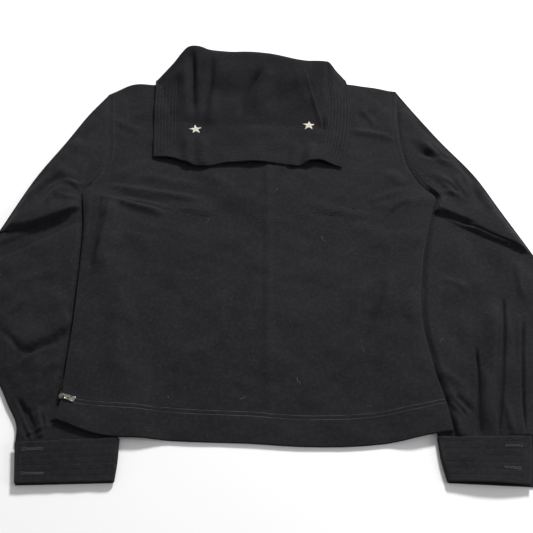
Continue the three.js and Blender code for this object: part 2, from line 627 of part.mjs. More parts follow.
add("front_panel", frontPanel(), wool);
add("back_panel", bodyPanel(backBottom, CLOTH), wool);
add("sleeve_left", sleeve(LEFT_SLEEVE, LEFT_SIDE, LEFT_SLEEVE_FOLDS, -1), wool);
add("sleeve_right", sleeve(RIGHT_SLEEVE, RIGHT_SIDE, RIGHT_SLEEVE_FOLDS, 1), wool);
add("cuff_left", cuff(LEFT_CUFF, 0, 0), wool);
add("cuff_right", cuff(RIGHT_CUFF, UNDERLAP, 3), wool);
add("collar", collar(), wool);
for (const [name, place] of Object.entries(STARS)) {
  add(name, star(place), thread);
}
add("side_zip", sideZip(), tape);
for (const [name, [x, y]] of Object.entries(BUTTONS)) {
  add(name, button(), horn).position.set(x, y, CUFF_CLOTH + 0.3);
}

const runner = new THREE.Group();
runner.position.set(SLIDER.x, SLIDER.y, seatZ);
runner.rotation.z = THREE.MathUtils.degToRad(PULL.wayAcross);
garment.add(runner);
add("zip_slider", zipSlider(), metal, runner);
const pull = add("zip_pull", zipPull(), metal, runner);
pull.position.set(0, 0, barZ);
pull.rotation.y = Math.asin((barZ - PULL.thickness / 2 - ZIP.gap) / PULL.length);

export default garment;
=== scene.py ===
# %% [markdown]
# A sailor's jumper, dressed
#
# The object is a short pullover shirt of heavy navy wool with a square collar at the back. It lies
# on its front on a table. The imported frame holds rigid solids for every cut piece. This lesson
# makes thin cloth shells on the same forms, with finer folds, seams, sewing and worn metal.
# Sizes are in millimetres in the tables, and each mesh is turned into metres when it is made.

# %% Load the frame
import math
import bpy
import bmesh
import numpy as np
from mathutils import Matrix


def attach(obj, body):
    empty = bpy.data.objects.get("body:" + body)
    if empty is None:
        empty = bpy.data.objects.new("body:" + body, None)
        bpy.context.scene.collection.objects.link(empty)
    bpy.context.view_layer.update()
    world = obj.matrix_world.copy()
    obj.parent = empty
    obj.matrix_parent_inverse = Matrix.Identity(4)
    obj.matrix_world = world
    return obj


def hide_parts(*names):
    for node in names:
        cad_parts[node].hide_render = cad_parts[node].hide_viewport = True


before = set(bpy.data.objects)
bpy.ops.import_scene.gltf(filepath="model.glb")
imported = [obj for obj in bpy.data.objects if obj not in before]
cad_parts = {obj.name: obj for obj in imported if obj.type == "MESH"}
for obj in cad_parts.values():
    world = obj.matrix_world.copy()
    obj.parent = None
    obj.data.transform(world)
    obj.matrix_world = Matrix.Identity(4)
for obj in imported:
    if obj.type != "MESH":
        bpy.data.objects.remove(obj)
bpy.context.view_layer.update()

MM = 0.001
BODY = "jumper"

# %% [markdown]
# The camera and the light
#
# The garment was seen from its hem side, from about 53 degrees above the table. A long lens keeps
# the perspective mild. The cloth is nearly black, so its shape reads only through light that
# grazes it: a soft light stands behind the neck, and a weaker one fills from the right.

# %% Camera, floor and light
CAMERA = {"place": (0.010, -0.8284, 1.0382), "tilt": 37.0, "lens": 64.7, "sensor": 36.0}
LIGHTS = {"window_light": {"place": (1.3, 3.1, 2.4), "size": 0.8, "power": 212},
          "side_light": {"place": (2.4, -0.6, 1.3), "size": 1.2, "power": 16}}
ROOM_LIGHT = 0.36
FLOOR_SIZE = 8.0
FLOOR_LEVEL = -0.0003


def add_object(name, data):
    obj = bpy.data.objects.new(name, data)
    bpy.context.collection.objects.link(obj)
    return obj


def put_camera():
    data = bpy.data.cameras.new("photo_camera")
    data.lens = CAMERA["lens"]
    data.sensor_width = CAMERA["sensor"]
    camera = add_object("photo_camera", data)
    camera.location = CAMERA["place"]
    camera.rotation_euler = (math.radians(CAMERA["tilt"]), 0, 0)
    bpy.context.scene.camera = camera


def put_light(name, place, size, power):
    """A round lamp that faces the middle of the table."""
    data = bpy.data.lights.new(name, "AREA")
    data.shape = "DISK"
    data.size = size
    data.energy = power
    light = add_object(name, data)
    light.location = place
    x, y, z = place
    light.rotation_euler = (math.atan2(math.hypot(x, y), z), 0, math.atan2(x, -y))


put_camera()
for name, light in LIGHTS.items():
    put_light(name, **light)
world = bpy.data.worlds.new("room")
bpy.context.scene.world = world
world.use_nodes = True
world.node_tree.nodes["Background"].inputs["Color"].default_value = (1.0, 1.0, 1.0, 1.0)
world.node_tree.nodes["Background"].inputs["Strength"].default_value = ROOM_LIGHT
bpy.context.scene.view_settings.view_transform = "Standard"

# %% [markdown]
# Tables and smooth curves
#
# A maker writes a pattern as a few measured places. Each table here has a row for each place and
# a named column for each measure. A smooth curve through the rows gives every place between.

# %% Helpers for tables
def clamp(value):
    return np.clip(value, 0.0, 1.0)


def ease(value):
    value = clamp(value)
    return value * value * (3 - 2 * value)


def mix(start, end, share):
    return start + (end - start) * share


def table(columns, *rows):
    values = np.array(rows, dtype=float)
    found = {name: values[:, i] for i, name in enumerate(columns.split())}
    found["step"] = np.arange(len(rows), dtype=float)
    return found


def read(rows, key, place, column, corners=()):
    """A column's value at a place between the rows. The curve turns sharply at corner rows."""
    keys, values = rows[key], rows[column]
    place = np.asarray(place, dtype=float)
    i = np.searchsorted(keys[1:-1], place, side="left")
    straight = np.diff(values) / np.diff(keys)
    central = (values[2:] - values[:-2]) / (keys[2:] - keys[:-2])
    slopes = np.concatenate([straight[:1], central, straight[-1:]])
    before, after = slopes[i], slopes[i + 1]
    for corner in corners:
        before = np.where(i == corner, straight[i], before)
        after = np.where(i + 1 == corner, straight[i], after)
    span = keys[i + 1] - keys[i]
    t = clamp((place - keys[i]) / span)
    bend = span * t * (1 - t) * (before * (1 - t) - after * t)
    return mix(values[i], values[i + 1], ease(t)) + bend


def x_of(line, y):
    return read(line, "y", y, "x")


def y_of(line, x):
    return read(line, "x", x, "y")


# %% Outline of the body
LEFT_SIDE = table("y x",
    [-282, -244], [-252, -240], [-212, -240], [-137, -239], [-56, -241], [13, -243.5],
    [64, -250], [89, -253], [104, -240], [124, -230], [164, -226], [224, -231], [287, -237])
RIGHT_SIDE = table("y x",
    [-297, 233], [-256, 228], [-212, 219], [-137, 211], [-56, 219], [13, 234],
    [54, 246], [72, 250], [89, 238], [104, 228], [144, 214], [214, 209], [294, 213])
PIT_ROW = 7
PIT_SHARE = 16 / 24
HEM = table("x y",
    [-244, -282], [-189, -302], [-129, -306], [-69, -309], [-10, -311],
    [50, -315], [109, -315], [169, -309], [217, -299], [233, -297])
SHOULDERS = table("x y",
    [-237, 287], [-204, 305], [-157, 308], [-100, 315], [-50, 303],
    [-2, 300], [48, 303], [98, 315], [144, 307], [213, 294])
NECK = {"left": -100, "right": 98, "top": 315, "x": -2, "y": 84}
HEM_SEAM = table("x y",
    [-245, -252], [-193, -259], [-132, -263], [-71, -267.5], [-10, -270],
    [50, -275], [111, -274], [172, -267], [222, -256], [233, -254])
YOKE_SEAM = table("x y",
    [-255, 86], [-184, 67], [-141, 54], [-70, 38], [-13, 28], [22, 28], [99, 44], [180, 56], [255, 64])

# %% Outlines of the sleeves
LEFT_SLEEVE = table("inX inY outX outY armhole sag flat puff",
    [-253, 89, -237, 287, 1, 0, 4, 0],
    [-252, 80, -262, 243, 0.25, 0, 4.2, 3],
    [-249, 71, -289, 185, 0.1, 0, 4.6, 5],
    [-250.6, 65, -326, 110, 0.1, -2, 4.4, 6],
    [-248.4, 60, -360, 17, 0, -11, 4.4, 6],
    [-246, 54, -364, 7, 0, -11, 4.4, 3],
    [-242, 36, -373, -38, 0, -4, 4.6, 3],
    [-236, 0, -380, -85, 0, 0, 5, 3.5],
    [-230, -50, -382, -124, 0, 0, 5, 4],
    [-219, -105, -370, -165, 0, 0, 5, 4],
    [-208, -155, -348, -202, 0, 0, 5, 4],
    [-197, -202, -323, -228, 0, 0, 5, 4],
    [-185, -243, -305, -260, 0, 0, 5, 4],
    [-175, -276, -291, -286, 0, 0, 5, 3],
    [-166, -305, -288, -311, 0, 0, 5, 2.6])
RIGHT_SLEEVE = table("inX inY outX outY armhole sag flat puff",
    [250, 72, 213, 294, 1, 0, 4, 0],
    [246, 67, 240, 240, 0.2, 0, 4.2, 3],
    [243.5, 61, 271, 184, 0.1, 0, 4.2, 5],
    [241.5, 57, 312, 117, 0.1, 0, 4.4, 6],
    [241, 54, 342, 46, 0, 4, 4.4, 6],
    [240.6, 49, 372, -26, 0, 3, 4.4, 6],
    [240.6, 43, 375, -37, 0, 3, 4.6, 3],
    [234.5, 26, 380, -75, 0, 0, 5, 3],
    [223, -10, 384, -112, 0, 0, 5, 3.5],
    [210, -60, 383, -148, 0, 0, 5, 4],
    [204, -108, 376, -184, 0, 0, 5, 4],
    [202, -157, 366, -219, 0, 0, 5, 4],
    [202, -207, 355, -249, 0, 0, 5, 4],
    [206, -255, 345, -276, 0, 0, 5, 3],
    [214, -303, 341, -303, 0, 0, 5, 2.6])

# %% [markdown]
# Folds
#
# Wool melton is thick, so it makes few and soft folds. Each row of a fold table is a ridge along
# a bowed line, with a height and the width over which it falls away on each side. A steep side
# and a wide side make a lip. A negative height is a trough. Blender's cloth simulation could
# make folds too, but it would not put them where this jumper has them.

# %% Fold tables
FOLDS = "x1 y1 x2 y2 bow height left right fade"
BODY_FOLDS = table(FOLDS,
    [-245, 84, -243, -70, 2, 3.2, 8, 14, 0.25],
    [-222, 88, -216, -40, 0, 3, 60, 9, 0.3],
    [-238, 86, -130, 62, 4, 2.6, 26, 26, 0.3],
    [-38, -80, -40, -160, -2, 2.2, 14, 28, 0.4],
    [180, 0, 104, -182, 12, 3, 34, 16, 0.35],
    [-82, -168, -118, -238, 0, 2.2, 16, 24, 0.4],
    [232, 76, 150, 30, -6, 2.4, 26, 20, 0.35],
    [-214, 268, -158, 236, 0, 2.6, 30, 22, 0.4],
    [196, 262, 150, 236, 0, 2.4, 24, 30, 0.4])
LEFT_SLEEVE_FOLDS = table(FOLDS,
    [-248, 60, -366, 14, 11, 7, 5, 58, 0.2],
    [-234, -134, -306, -184, 4, 4.5, 8, 28, 0.16],
    [-342, -148, -296, -103, 3, 3, 18, 8, 0.3],
    [-252, -309, -272, -258, 0, 1.8, 8, 9, 0.3],
    [-276, -310, -300, -266, 0, 1.6, 7, 8, 0.3],
    [-264, 92, -306, 70, 4, 2.4, 9, 12, 0.3])
RIGHT_SLEEVE_FOLDS = table(FOLDS,
    [238, 54, 376, -30, -4, 5, 58, 7, 0.12],
    [314, -100, 279, -302, -3, 4.5, 7, 30, 0.18],
    [283, -206, 271, -302, 0, 2.6, 12, 7, 0.25],
    [226, -240, 252, -280, 0, 3.5, 14, 8, 0.3],
    [246, 124, 284, 52, 8, 3.0, 12, 12, 0.3])


def folds_at(folds, x, y):
    total = np.zeros(np.shape(x))
    for x1, y1, x2, y2, bow, height, left, right, fade in zip(*(folds[n] for n in FOLDS.split())):
        along_x, along_y = x2 - x1, y2 - y1
        length = math.hypot(along_x, along_y)
        t = ((x - x1) * along_x + (y - y1) * along_y) / length ** 2
        aside = ((y - y1) * along_x - (x - x1) * along_y) / length - bow * 4 * t * (1 - t)
        ends = ease(t / fade) * ease((1 - t) / fade)
        width = np.where(aside > 0, left, right)
        total = total + height * ends * ease(1 - np.abs(aside) / width)
    return total


# %% Finer creases, which only this model has
CREASE_DEPTH = 1.9
BODY_CREASES = table(FOLDS,
    [-225, 76, -232, -52, -2, -3.2, 6, 6, 0.25],
    [-209, 76, -221, -70, 0, 4.0, 22, 7, 0.25],
    [132, 207, 206, 188, 6, 1.5, 6, 12, 0.25],
    [150, 250, 177, 214, 4, 1.2, 8, 8, 0.3],
    [182, -56, 106, -236, 8, 1.2, 12, 12, 0.3],
    [170, -60, 118, -188, 6, -1.4, 8, 10, 0.3],
    [-222, 232, -170, 206, -4, 1.1, 8, 12, 0.3],
    [-234, 98, -70, 66, 3, 2.0, 7, 9, 0.3],
    [-215, 82, -96, 54, 2, -1.4, 6, 7, 0.3],
    [-226, 72, -124, 40, 3, 1.8, 7, 10, 0.3],
    [-190, 118, -60, 88, 3, 1.0, 9, 12, 0.35],
    [226, 90, 140, 60, -3, 1.0, 7, 9, 0.35],
    [222, 66, 168, 20, -4, -0.9, 7, 8, 0.35],
    [140, -150, 80, -236, 5, 0.8, 9, 11, 0.35],
    [196, -150, 168, -232, 4, -0.8, 8, 9, 0.35],
    [-196, -60, -150, -160, -6, 0.6, 10, 12, 0.4],
    [-205, 84, -196, 20, 2, -1.2, 8, 12, 0.4],
    [-150, 62, -60, 44, 3, 0.9, 12, 14, 0.4],
    [12, 185, 12, -268, 0, 0.8, 9, 9, 0.12],
    [-34, -90, -36, -158, -3, -1.2, 10, 12, 0.35],
    [168, -6, 112, -176, 10, -1.3, 14, 12, 0.3],
    [150, -60, 96, -150, 5, 0.9, 14, 16, 0.4],
    [196, -60, 190, -190, 6, 0.9, 16, 16, 0.4],
    [-96, -176, -116, -232, 0, -1.1, 10, 10, 0.35],
    [-62, -150, -92, -236, 3, 0.7, 14, 14, 0.4],
    [60, 60, 170, 40, -4, 0.8, 14, 14, 0.4],
    [-110, 120, -30, 92, 4, 0.7, 16, 18, 0.4],
    [-226, 240, -176, 256, 3, -1.2, 12, 12, 0.4],
    [186, 250, 150, 222, -3, -1.0, 12, 14, 0.4],
    [222, 96, 180, 130, 4, 0.9, 14, 14, 0.4],
    [-226, 108, -170, 150, -5, 0.8, 14, 14, 0.4],
    [-130, -40, -90, -130, 5, 0.6, 18, 20, 0.4],
    [60, -100, 40, -230, 4, 0.6, 16, 18, 0.4],
    [-190, -120, -180, -230, 3, 0.6, 16, 18, 0.4])
LEFT_SLEEVE_CREASES = table(FOLDS,
    [-246, -311, -263, -268, 2, -1.4, 4, 4, 0.3],
    [-268, -311, -290, -276, 2, -1.4, 4, 4, 0.3],
    [-283, -312, -312, -276, 2, -1.4, 4, 4, 0.3],
    [-208, -240, -284, -282, -5, -1.2, 7, 8, 0.35],
    [-326, -84, -262, -62, 5, 0.9, 9, 10, 0.35],
    [-300, -190, -336, -150, -3, -1.2, 7, 8, 0.35],
    [-246, 46, -374, -26, 6, -2.8, 20, 9, 0.1],
    [-292, 16, -392, -52, 4, -3.0, 10, 22, 0.25],
    [-234, -148, -300, -193, 3, -3.4, 10, 6, 0.2],
    [-242, -82, -250, -136, 3, -3.0, 8, 6, 0.3],
    [-262, -173, -306, -218, -3, 1.6, 8, 9, 0.25],
    [-243, -199, -281, -236, -3, 1.4, 8, 9, 0.25],
    [-241, -214, -258, -264, 3, -1.8, 9, 6, 0.25],
    [-282, -303, -248, -287, 0, 1.2, 4, 4, 0.25],
    [-276, -309, -246, -301, 2, 1.2, 4, 4, 0.25],
    [-296, -250, -273, -288, 0, -1.6, 6, 5, 0.25],
    [-284, 112, -318, 58, -10, -2.6, 12, 9, 0.3],
    [-274, 96, -300, 48, -6, 2.2, 9, 9, 0.3],
    [-326, 96, -344, 40, 2, 1.6, 10, 10, 0.3],
    [-252, 96, -284, 104, 4, 1.2, 6, 8, 0.3],
    [-262, 104, -300, 132, 3, 1.2, 12, 14, 0.35],
    [-252, 84, -292, 96, -5, 1.6, 7, 7, 0.3],
    [-256, 68, -296, 76, 4, 1.4, 6, 7, 0.3],
    [-296, 186, -260, 160, 4, 0.8, 14, 16, 0.4],
    [-352, -60, -300, -40, 4, 0.9, 16, 18, 0.4],
    [-240, -312, -250, -270, 0, -1.6, 6, 6, 0.25],
    [-262, -312, -284, -262, 0, -1.7, 6, 6, 0.25],
    [-210, -310, -216, -276, 0, 1.4, 7, 7, 0.3],
    [-236, -190, -296, -214, 4, 1.0, 14, 14, 0.4],
    [-228, -150, -240, -230, 3, 0.8, 12, 14, 0.4])
RIGHT_SLEEVE_CREASES = table(FOLDS,
    [322, -100, 285, -306, 3, -4.2, 3.2, 3, 0.12],
    [275, -176, 259, -306, 4, -3.4, 3, 3, 0.2],
    [344, -130, 318, -306, -3, -3.4, 3, 3, 0.2],
    [244, 46, 304, 14, 0, -2.6, 7, 7, 0.3],
    [288, 150, 306, 40, 12, -2.0, 14, 12, 0.35],
    [243, 190, 286, 128, -8, 1.8, 9, 10, 0.3],
    [230, 168, 284, 142, -4, -1.5, 9, 9, 0.35],
    [300, 120, 330, 30, 6, 1.4, 12, 12, 0.35],
    [262, 102, 282, 66, 5, -1.2, 6, 6, 0.3],
    [232, -250, 253, -280, 0, -1.4, 4, 4, 0.25],
    [222, -214, 258, -244, 3, 1.0, 8, 9, 0.35],
    [330, -120, 316, -214, 3, -1.0, 8, 8, 0.35],
    [236, -70, 282, -96, 4, 0.9, 9, 10, 0.35],
    [238, -246, 262, -274, 0, -2.0, 7, 6, 0.3],
    [286, 118, 300, 70, -6, 1.2, 9, 9, 0.35],
    [256, 80, 290, 66, 4, 1.3, 8, 8, 0.35],
    [222, 200, 262, 150, 4, 0.8, 14, 14, 0.4],
    [351, -40, 350, -110, -4, 1.3, 10, 8, 0.25],
    [300, -110, 292, -200, 4, 1.0, 14, 14, 0.4],
    [266, -120, 258, -210, 3, 0.8, 14, 14, 0.4],
    [304, -308, 300, -252, 0, 1.2, 6, 7, 0.3],
    [240, -308, 238, -270, 0, 1.1, 7, 7, 0.3],
    [262, -310, 270, -250, 0, -1.4, 6, 6, 0.3])

# %% [markdown]
# Waviness
#
# No cloth lies quite level. Thirty crossing waves, which add up to a millimetre or two, keep the
# broad panels from looking like card. They are drawn from a fixed seed, so each run is the same.

# %% Waviness
WAVE_GAIN, LONG_WAVES = 3.2, 0.8


def waves(x, y, seed, height=0.5, longest=105.0, shortest=22.0, count=30):
    draw = np.random.default_rng(seed)
    total = np.zeros(np.shape(x))
    for _ in range(count):
        angle = draw.uniform(0, math.pi)
        length = draw.uniform(shortest, longest)
        phase = draw.uniform(0, 2 * math.pi)
        along = x * math.cos(angle) + y * math.sin(angle)
        total = total + (length / longest) ** LONG_WAVES * np.sin(2 * math.pi * along / length + phase)
    return WAVE_GAIN * height * total / math.sqrt(count)


# %% [markdown]
# The layers of the body
#
# The front lies on the table, the sleeves and the lapels push it up from below, and the back
# lies on the front. So each height is the height below it plus a thickness. Nearly the same sums
# make the solids in the frame, which keeps the dressed cloth close to them.

# %% Heights of the body's layers
CLOTH, COLLAR_CLOTH, CUFF_CLOTH = 1.6, 2.6, 2.2
SEAM, LAYER, COLLAR_REST = 0.7, 0.5, 0.6
OVER_SLEEVE, OVER_LAPEL = 5.8, 3.2
PLATEAU, SLOPE, LIFT_TOP = 20, 45, 100
BILLOW = {"height": 0.9, "width": 34, "fade": 30, "top": 98, "top_fade": 24, "low": -246, "low_fade": 60}
LAPEL = {"start": 14, "left": 0.66, "right": 0.58, "top": 277}
ZIP = {"bottom": -262, "top": -92, "width": 11, "tape": 0.8, "gap": 0.3, "peek": 5.5, "fade": 25}
ZIP_LIFT = {"height": 0.9, "width": 50, "fade": 30}
PEEK = {"from": -212, "fade": 32}
NECK_RISE = {"height": 4, "from": 236, "width": 60, "reach": 118}


def inner_edge(sleeve):
    return {"y": sleeve["inY"][::-1], "x": sleeve["inX"][::-1]}


LEFT_INNER, RIGHT_INNER = inner_edge(LEFT_SLEEVE), inner_edge(RIGHT_SLEEVE)


def lapel_edge(y, spread):
    return LAPEL["start"] + spread * (y - NECK["y"])


def sleeve_lift(x, y):
    from_left = x_of(LEFT_INNER, y) + PLATEAU + SLOPE - x
    from_right = x - (x_of(RIGHT_INNER, y) - PLATEAU - SLOPE)
    return OVER_SLEEVE * ease(np.maximum(from_left, from_right) / SLOPE) * ease((LIFT_TOP - y) / SLOPE)


def lapel_lift(x, y):
    sideways = lapel_edge(y, LAPEL["left"]) + PLATEAU + SLOPE - np.abs(x - NECK["x"])
    return OVER_LAPEL * ease(sideways / SLOPE) * ease((y - NECK["y"] + PLATEAU + SLOPE) / SLOPE)


def zip_reach(y):
    return ease((ZIP["top"] + ZIP["fade"] - y) / ZIP["fade"])


def front_peek(y):
    return ZIP["peek"] * ease((PEEK["from"] - y) / PEEK["fade"])


def side_billow(x, y):
    """The sewn side seams stand a little off the sleeves that pass below them."""
    left = ease((BILLOW["width"] - x + x_of(LEFT_SIDE, y)) / BILLOW["fade"])
    right = ease((BILLOW["width"] + x - x_of(RIGHT_SIDE, y)) / BILLOW["fade"])
    ends = ease((BILLOW["top"] - y) / BILLOW["top_fade"]) * ease((y - BILLOW["low"]) / BILLOW["low_fade"])
    return BILLOW["height"] * np.maximum(left, right) * ends


def front_bottom(x, y):
    return sleeve_lift(x, y) + lapel_lift(x, y) + side_billow(x, y)


def front_top(x, y):
    return front_bottom(x, y) + CLOTH


def back_bottom(x, y):
    beside_zip = ease((x_of(LEFT_SIDE, y) + ZIP_LIFT["width"] - x) / ZIP_LIFT["fade"])
    zip_lift = ZIP_LIFT["height"] * zip_reach(y) * beside_zip
    neckward = ease((y - NECK_RISE["from"]) / NECK_RISE["width"])
    across = ease((NECK_RISE["reach"] - np.abs(x - NECK["x"])) / NECK_RISE["width"])
    rise = NECK_RISE["height"] * neckward * across
    return front_top(x, y) + LAYER + zip_lift + rise + folds_at(BODY_FOLDS, x, y)


def back_top(x, y):
    return back_bottom(x, y) + CLOTH


# %% [markdown]
# Closed cloth
#
# A cloth shell is two nets of points, an outer and an inner one, whose rims meet. Solidify could
# thicken a single net, but it leaves a square rim. Here the thickness shrinks to nothing along a
# quarter circle at each open edge, so the rim is round and catches light as thick wool does.

# %% Mesh helpers
def normals_of(grid, ring=False):
    if ring:
        across = np.roll(grid, -1, axis=1) - np.roll(grid, 1, axis=1)
    else:
        across = np.gradient(grid, axis=1)
    along = np.gradient(grid, axis=0)
    normal = np.cross(across, along)
    return normal / np.maximum(np.linalg.norm(normal, axis=2, keepdims=True), 1e-9)


def reach_along(net, axis):
    """How far each point of a net lies along its row or column, from the first point."""
    step = np.linalg.norm(np.diff(net, axis=axis), axis=2)
    return np.insert(np.cumsum(step, axis=axis), 0, 0.0, axis=axis)


def rim_distance(x, y):
    """How far each point of a net lies from the net's border."""
    found = []
    for axis in (0, 1):
        reach = reach_along(np.stack([x, y], axis=2), axis)
        found.append(np.minimum(reach, np.take(reach, [-1], axis=axis) - reach))
    return np.minimum(*found)


def rim_share(distance, half):
    """How thick the cloth is at a distance from its rim, from 0 at the rim to 1 inside."""
    q = clamp(distance / half)
    return np.sqrt(np.maximum(0.0, 1 - (1 - q) ** 2))


def spaced(length, count, rim, marks=()):
    """Places along a length in mm: rim steps at both ends, even steps between, and marked places."""
    even = np.linspace(rim[-1], length - rim[-1], count)
    places = np.concatenate([rim, even, length - np.array(rim), marks])
    places = np.unique(np.round(places, 4))
    keep = np.concatenate([[True], np.diff(places) > 0.02])
    return places[keep]


def new_object(name, points, faces, material, uv=None, smooth=True):
    mesh = bpy.data.meshes.new(name)
    mesh.from_pydata((np.asarray(points) * MM).tolist(), [], faces)
    if uv is not None:
        layer = mesh.uv_layers.new(name="cloth")
        corner = np.empty(len(mesh.loops), dtype=np.int32)
        mesh.loops.foreach_get("vertex_index", corner)
        layer.data.foreach_set("uv", (np.asarray(uv)[corner] * MM).ravel())
    mesh.validate()
    if smooth:
        mesh.shade_smooth()
    mesh.materials.append(material)
    return add_object(name, mesh)


def closed_cloth(name, outer, inner, material, near, ring=False, keep=None):
    """A closed mesh between two nets. Where outer and inner points meet they become one point."""
    rows, columns = outer.shape[:2]
    flat_outer, flat_inner = outer.reshape(-1, 3), inner.reshape(-1, 3)
    met = np.linalg.norm(flat_outer - flat_inner, axis=1) < 1e-6
    inner_index = np.where(met, np.arange(rows * columns), rows * columns + np.cumsum(~met) - 1)
    points = np.concatenate([flat_outer, flat_inner[~met]])
    faces = []
    for i in range(rows - 1):
        for j in range(columns if ring else columns - 1):
            if keep is not None and not keep[i, j]:
                continue
            k = (j + 1) % columns
            quad = [i * columns + j, i * columns + k, (i + 1) * columns + k, (i + 1) * columns + j]
            faces.append(quad)
            faces.append([int(inner_index[c]) for c in reversed(quad)])
    across, along = reach_along(outer, 1), reach_along(outer, 0)
    cloth = np.stack([across - across.mean(axis=1, keepdims=True), along], axis=2).reshape(-1, 2)
    obj = new_object(name, points, faces, material, np.concatenate([cloth, cloth[~met]]))
    rim = np.broadcast_to(near, (rows, columns)).reshape(-1)
    attribute = obj.data.attributes.new("rim_distance", "FLOAT", "POINT")
    attribute.data.foreach_set("value", np.concatenate([rim, rim[~met]]))
    fix = bmesh.new()
    fix.from_mesh(obj.data)
    bmesh.ops.remove_doubles(fix, verts=fix.verts, dist=2e-7)
    if fix.calc_volume(signed=True) < 0:
        bmesh.ops.reverse_faces(fix, faces=fix.faces)
    fix.to_mesh(obj.data)
    fix.free()
    return obj


def shell(name, middle, near, half, material, on_table=False, keep=None):
    """Cloth round a net of middle points. near is each point's distance from the cloth's rim."""
    lift = normals_of(middle) * (half * rim_share(near, half))[..., None]
    outer, inner = middle + lift, middle - lift
    if on_table:
        outer[..., 2] = np.maximum(outer[..., 2], 0.0)
        inner[..., 2] = np.maximum(inner[..., 2], 0.0)
    return closed_cloth(name, outer, inner, material, near, keep=keep)


# %% [markdown]
# Wool melton
#
# Melton is woven and then felted until the threads hardly show. It takes its look from three
# things: a short nap that gives a soft sheen, faint threads below it, and patches where wear has
# changed the dye. A plain dark colour would look like rubber. The threads follow the piece's own
# map in metres, so that they turn with the cloth, and the patches use Object coordinates.

# %% Node helpers
def fill(tree, node, inputs):
    """Gives a node its inputs. A socket is linked, and any other value is set."""
    for key, value in inputs.items():
        if isinstance(value, bpy.types.NodeSocket):
            tree.links.new(value, node.inputs[key])
        else:
            node.inputs[key].default_value = value
    return node


def add_node(tree, kind, inputs=None, **settings):
    node = tree.nodes.new(kind)
    for key, value in settings.items():
        setattr(node, key, value)
    return fill(tree, node, inputs or {})


def calculate(tree, operation, *values, clamped=False):
    node = add_node(tree, "ShaderNodeMath", dict(enumerate(values)), operation=operation)
    node.use_clamp = clamped
    return node.outputs[0]


def weighted(tree, *pairs):
    """The sum of some values, each times its weight."""
    parts = [calculate(tree, "MULTIPLY", *pair) for pair in pairs]
    total = parts[0]
    for part in parts[1:]:
        total = calculate(tree, "ADD", total, part)
    return total


def blend_colors(tree, share, first, second, mode="MIX"):
    inputs = {0: share, 6: first, 7: second}
    return add_node(tree, "ShaderNodeMix", inputs, data_type="RGBA", blend_type=mode).outputs[2]


def to_range(tree, value, low, high, new_low=0.0, new_high=1.0):
    node = add_node(tree, "ShaderNodeMapRange", {"Value": value, "From Min": low, "From Max": high,
                    "To Min": new_low, "To Max": new_high}, interpolation_type="SMOOTHSTEP")
    return node.outputs[0]


def noise(tree, vector, scale, detail=3.0, roughness=0.55):
    node = add_node(tree, "ShaderNodeTexNoise", {"Vector": vector, "Scale": scale, "Detail": detail,
                    "Roughness": roughness})
    return node.outputs["Fac"]


def new_group(name, kind, inputs=(), outputs=()):
    tree = bpy.data.node_groups.new(name, kind)
    for label, socket_type, value in inputs:
        socket = tree.interface.new_socket(label, in_out="INPUT", socket_type=socket_type)
        if value is not None:
            socket.default_value = value
    for label, socket_type in outputs:
        tree.interface.new_socket(label, in_out="OUTPUT", socket_type=socket_type)
    return tree, tree.nodes.new("NodeGroupInput").outputs, tree.nodes.new("NodeGroupOutput").inputs


def new_material(name):
    material = bpy.data.materials.new(name)
    material.use_nodes = True
    return material, material.node_tree, material.node_tree.nodes["Principled BSDF"]


# %% The felted surface, shared by every cloth
def felt_group():
    """Inputs are colours and sizes. Outputs a colour, a roughness and a height for Bump."""
    tree, given, wanted = new_group("felted_cloth", "ShaderNodeTree", (
        ("Dye", "NodeSocketColor", (0.01, 0.01, 0.014, 1)),
        ("Worn", "NodeSocketColor", (0.02, 0.02, 0.024, 1)),
        ("Thread", "NodeSocketFloat", 0.0011),
        ("Patches", "NodeSocketFloat", 0.5),
        ("Rim", "NodeSocketFloat", 0.0)),
        (("Color", "NodeSocketColor"), ("Roughness", "NodeSocketFloat"), ("Height", "NodeSocketFloat")))
    map_node = add_node(tree, "ShaderNodeUVMap", uv_map="cloth")
    place = add_node(tree, "ShaderNodeTexCoord").outputs["Object"]
    per_metre = calculate(tree, "DIVIDE", 6.2832, given["Thread"])
    split = add_node(tree, "ShaderNodeSeparateXYZ", {0: map_node.outputs[0]})
    wobble = noise(tree, place, 260.0, 2.0)
    warp_in = weighted(tree, (split.outputs[0], per_metre), (wobble, 3.0))
    weft_in = weighted(tree, (split.outputs[1], per_metre), (wobble, 3.0))
    warp, weft = calculate(tree, "SINE", warp_in), calculate(tree, "SINE", weft_in)
    twill = calculate(tree, "SINE", calculate(tree, "ADD", warp_in, weft_in))
    threads = weighted(tree, (warp, weft), (twill, 0.5))
    nap = noise(tree, place, 900.0, 4.0, 0.65)
    clumps = noise(tree, place, 210.0, 3.0, 0.6)
    patches = noise(tree, place, 24.0, 4.0, 0.6)
    broad = noise(tree, place, 6.5, 2.0, 0.5)
    tree.links.new(weighted(tree, (nap, 1.0), (threads, 0.10), (clumps, 1.1)), wanted["Height"])
    amount = to_range(tree, weighted(tree, (patches, 0.6), (broad, 0.4)), 0.3, 0.72)
    amount = calculate(tree, "MULTIPLY", amount, given["Patches"])
    speckle = to_range(tree, clumps, 0.40, 0.72, 0.0, 0.5)
    amount = calculate(tree, "ADD", calculate(tree, "ADD", amount, speckle), given["Rim"], clamped=True)
    color = blend_colors(tree, amount, given["Dye"], given["Worn"])
    hue = to_range(tree, noise(tree, place, 14.0, 3.0), 0.3, 0.7)
    tint = blend_colors(tree, hue, (1.03, 0.98, 0.98, 1), (0.97, 0.99, 1.06, 1))
    color = blend_colors(tree, 1.0, color, tint, "MULTIPLY")
    tree.links.new(color, wanted["Color"])
    tree.links.new(to_range(tree, nap, 0.2, 0.8, 0.82, 1.0), wanted["Roughness"])
    return tree


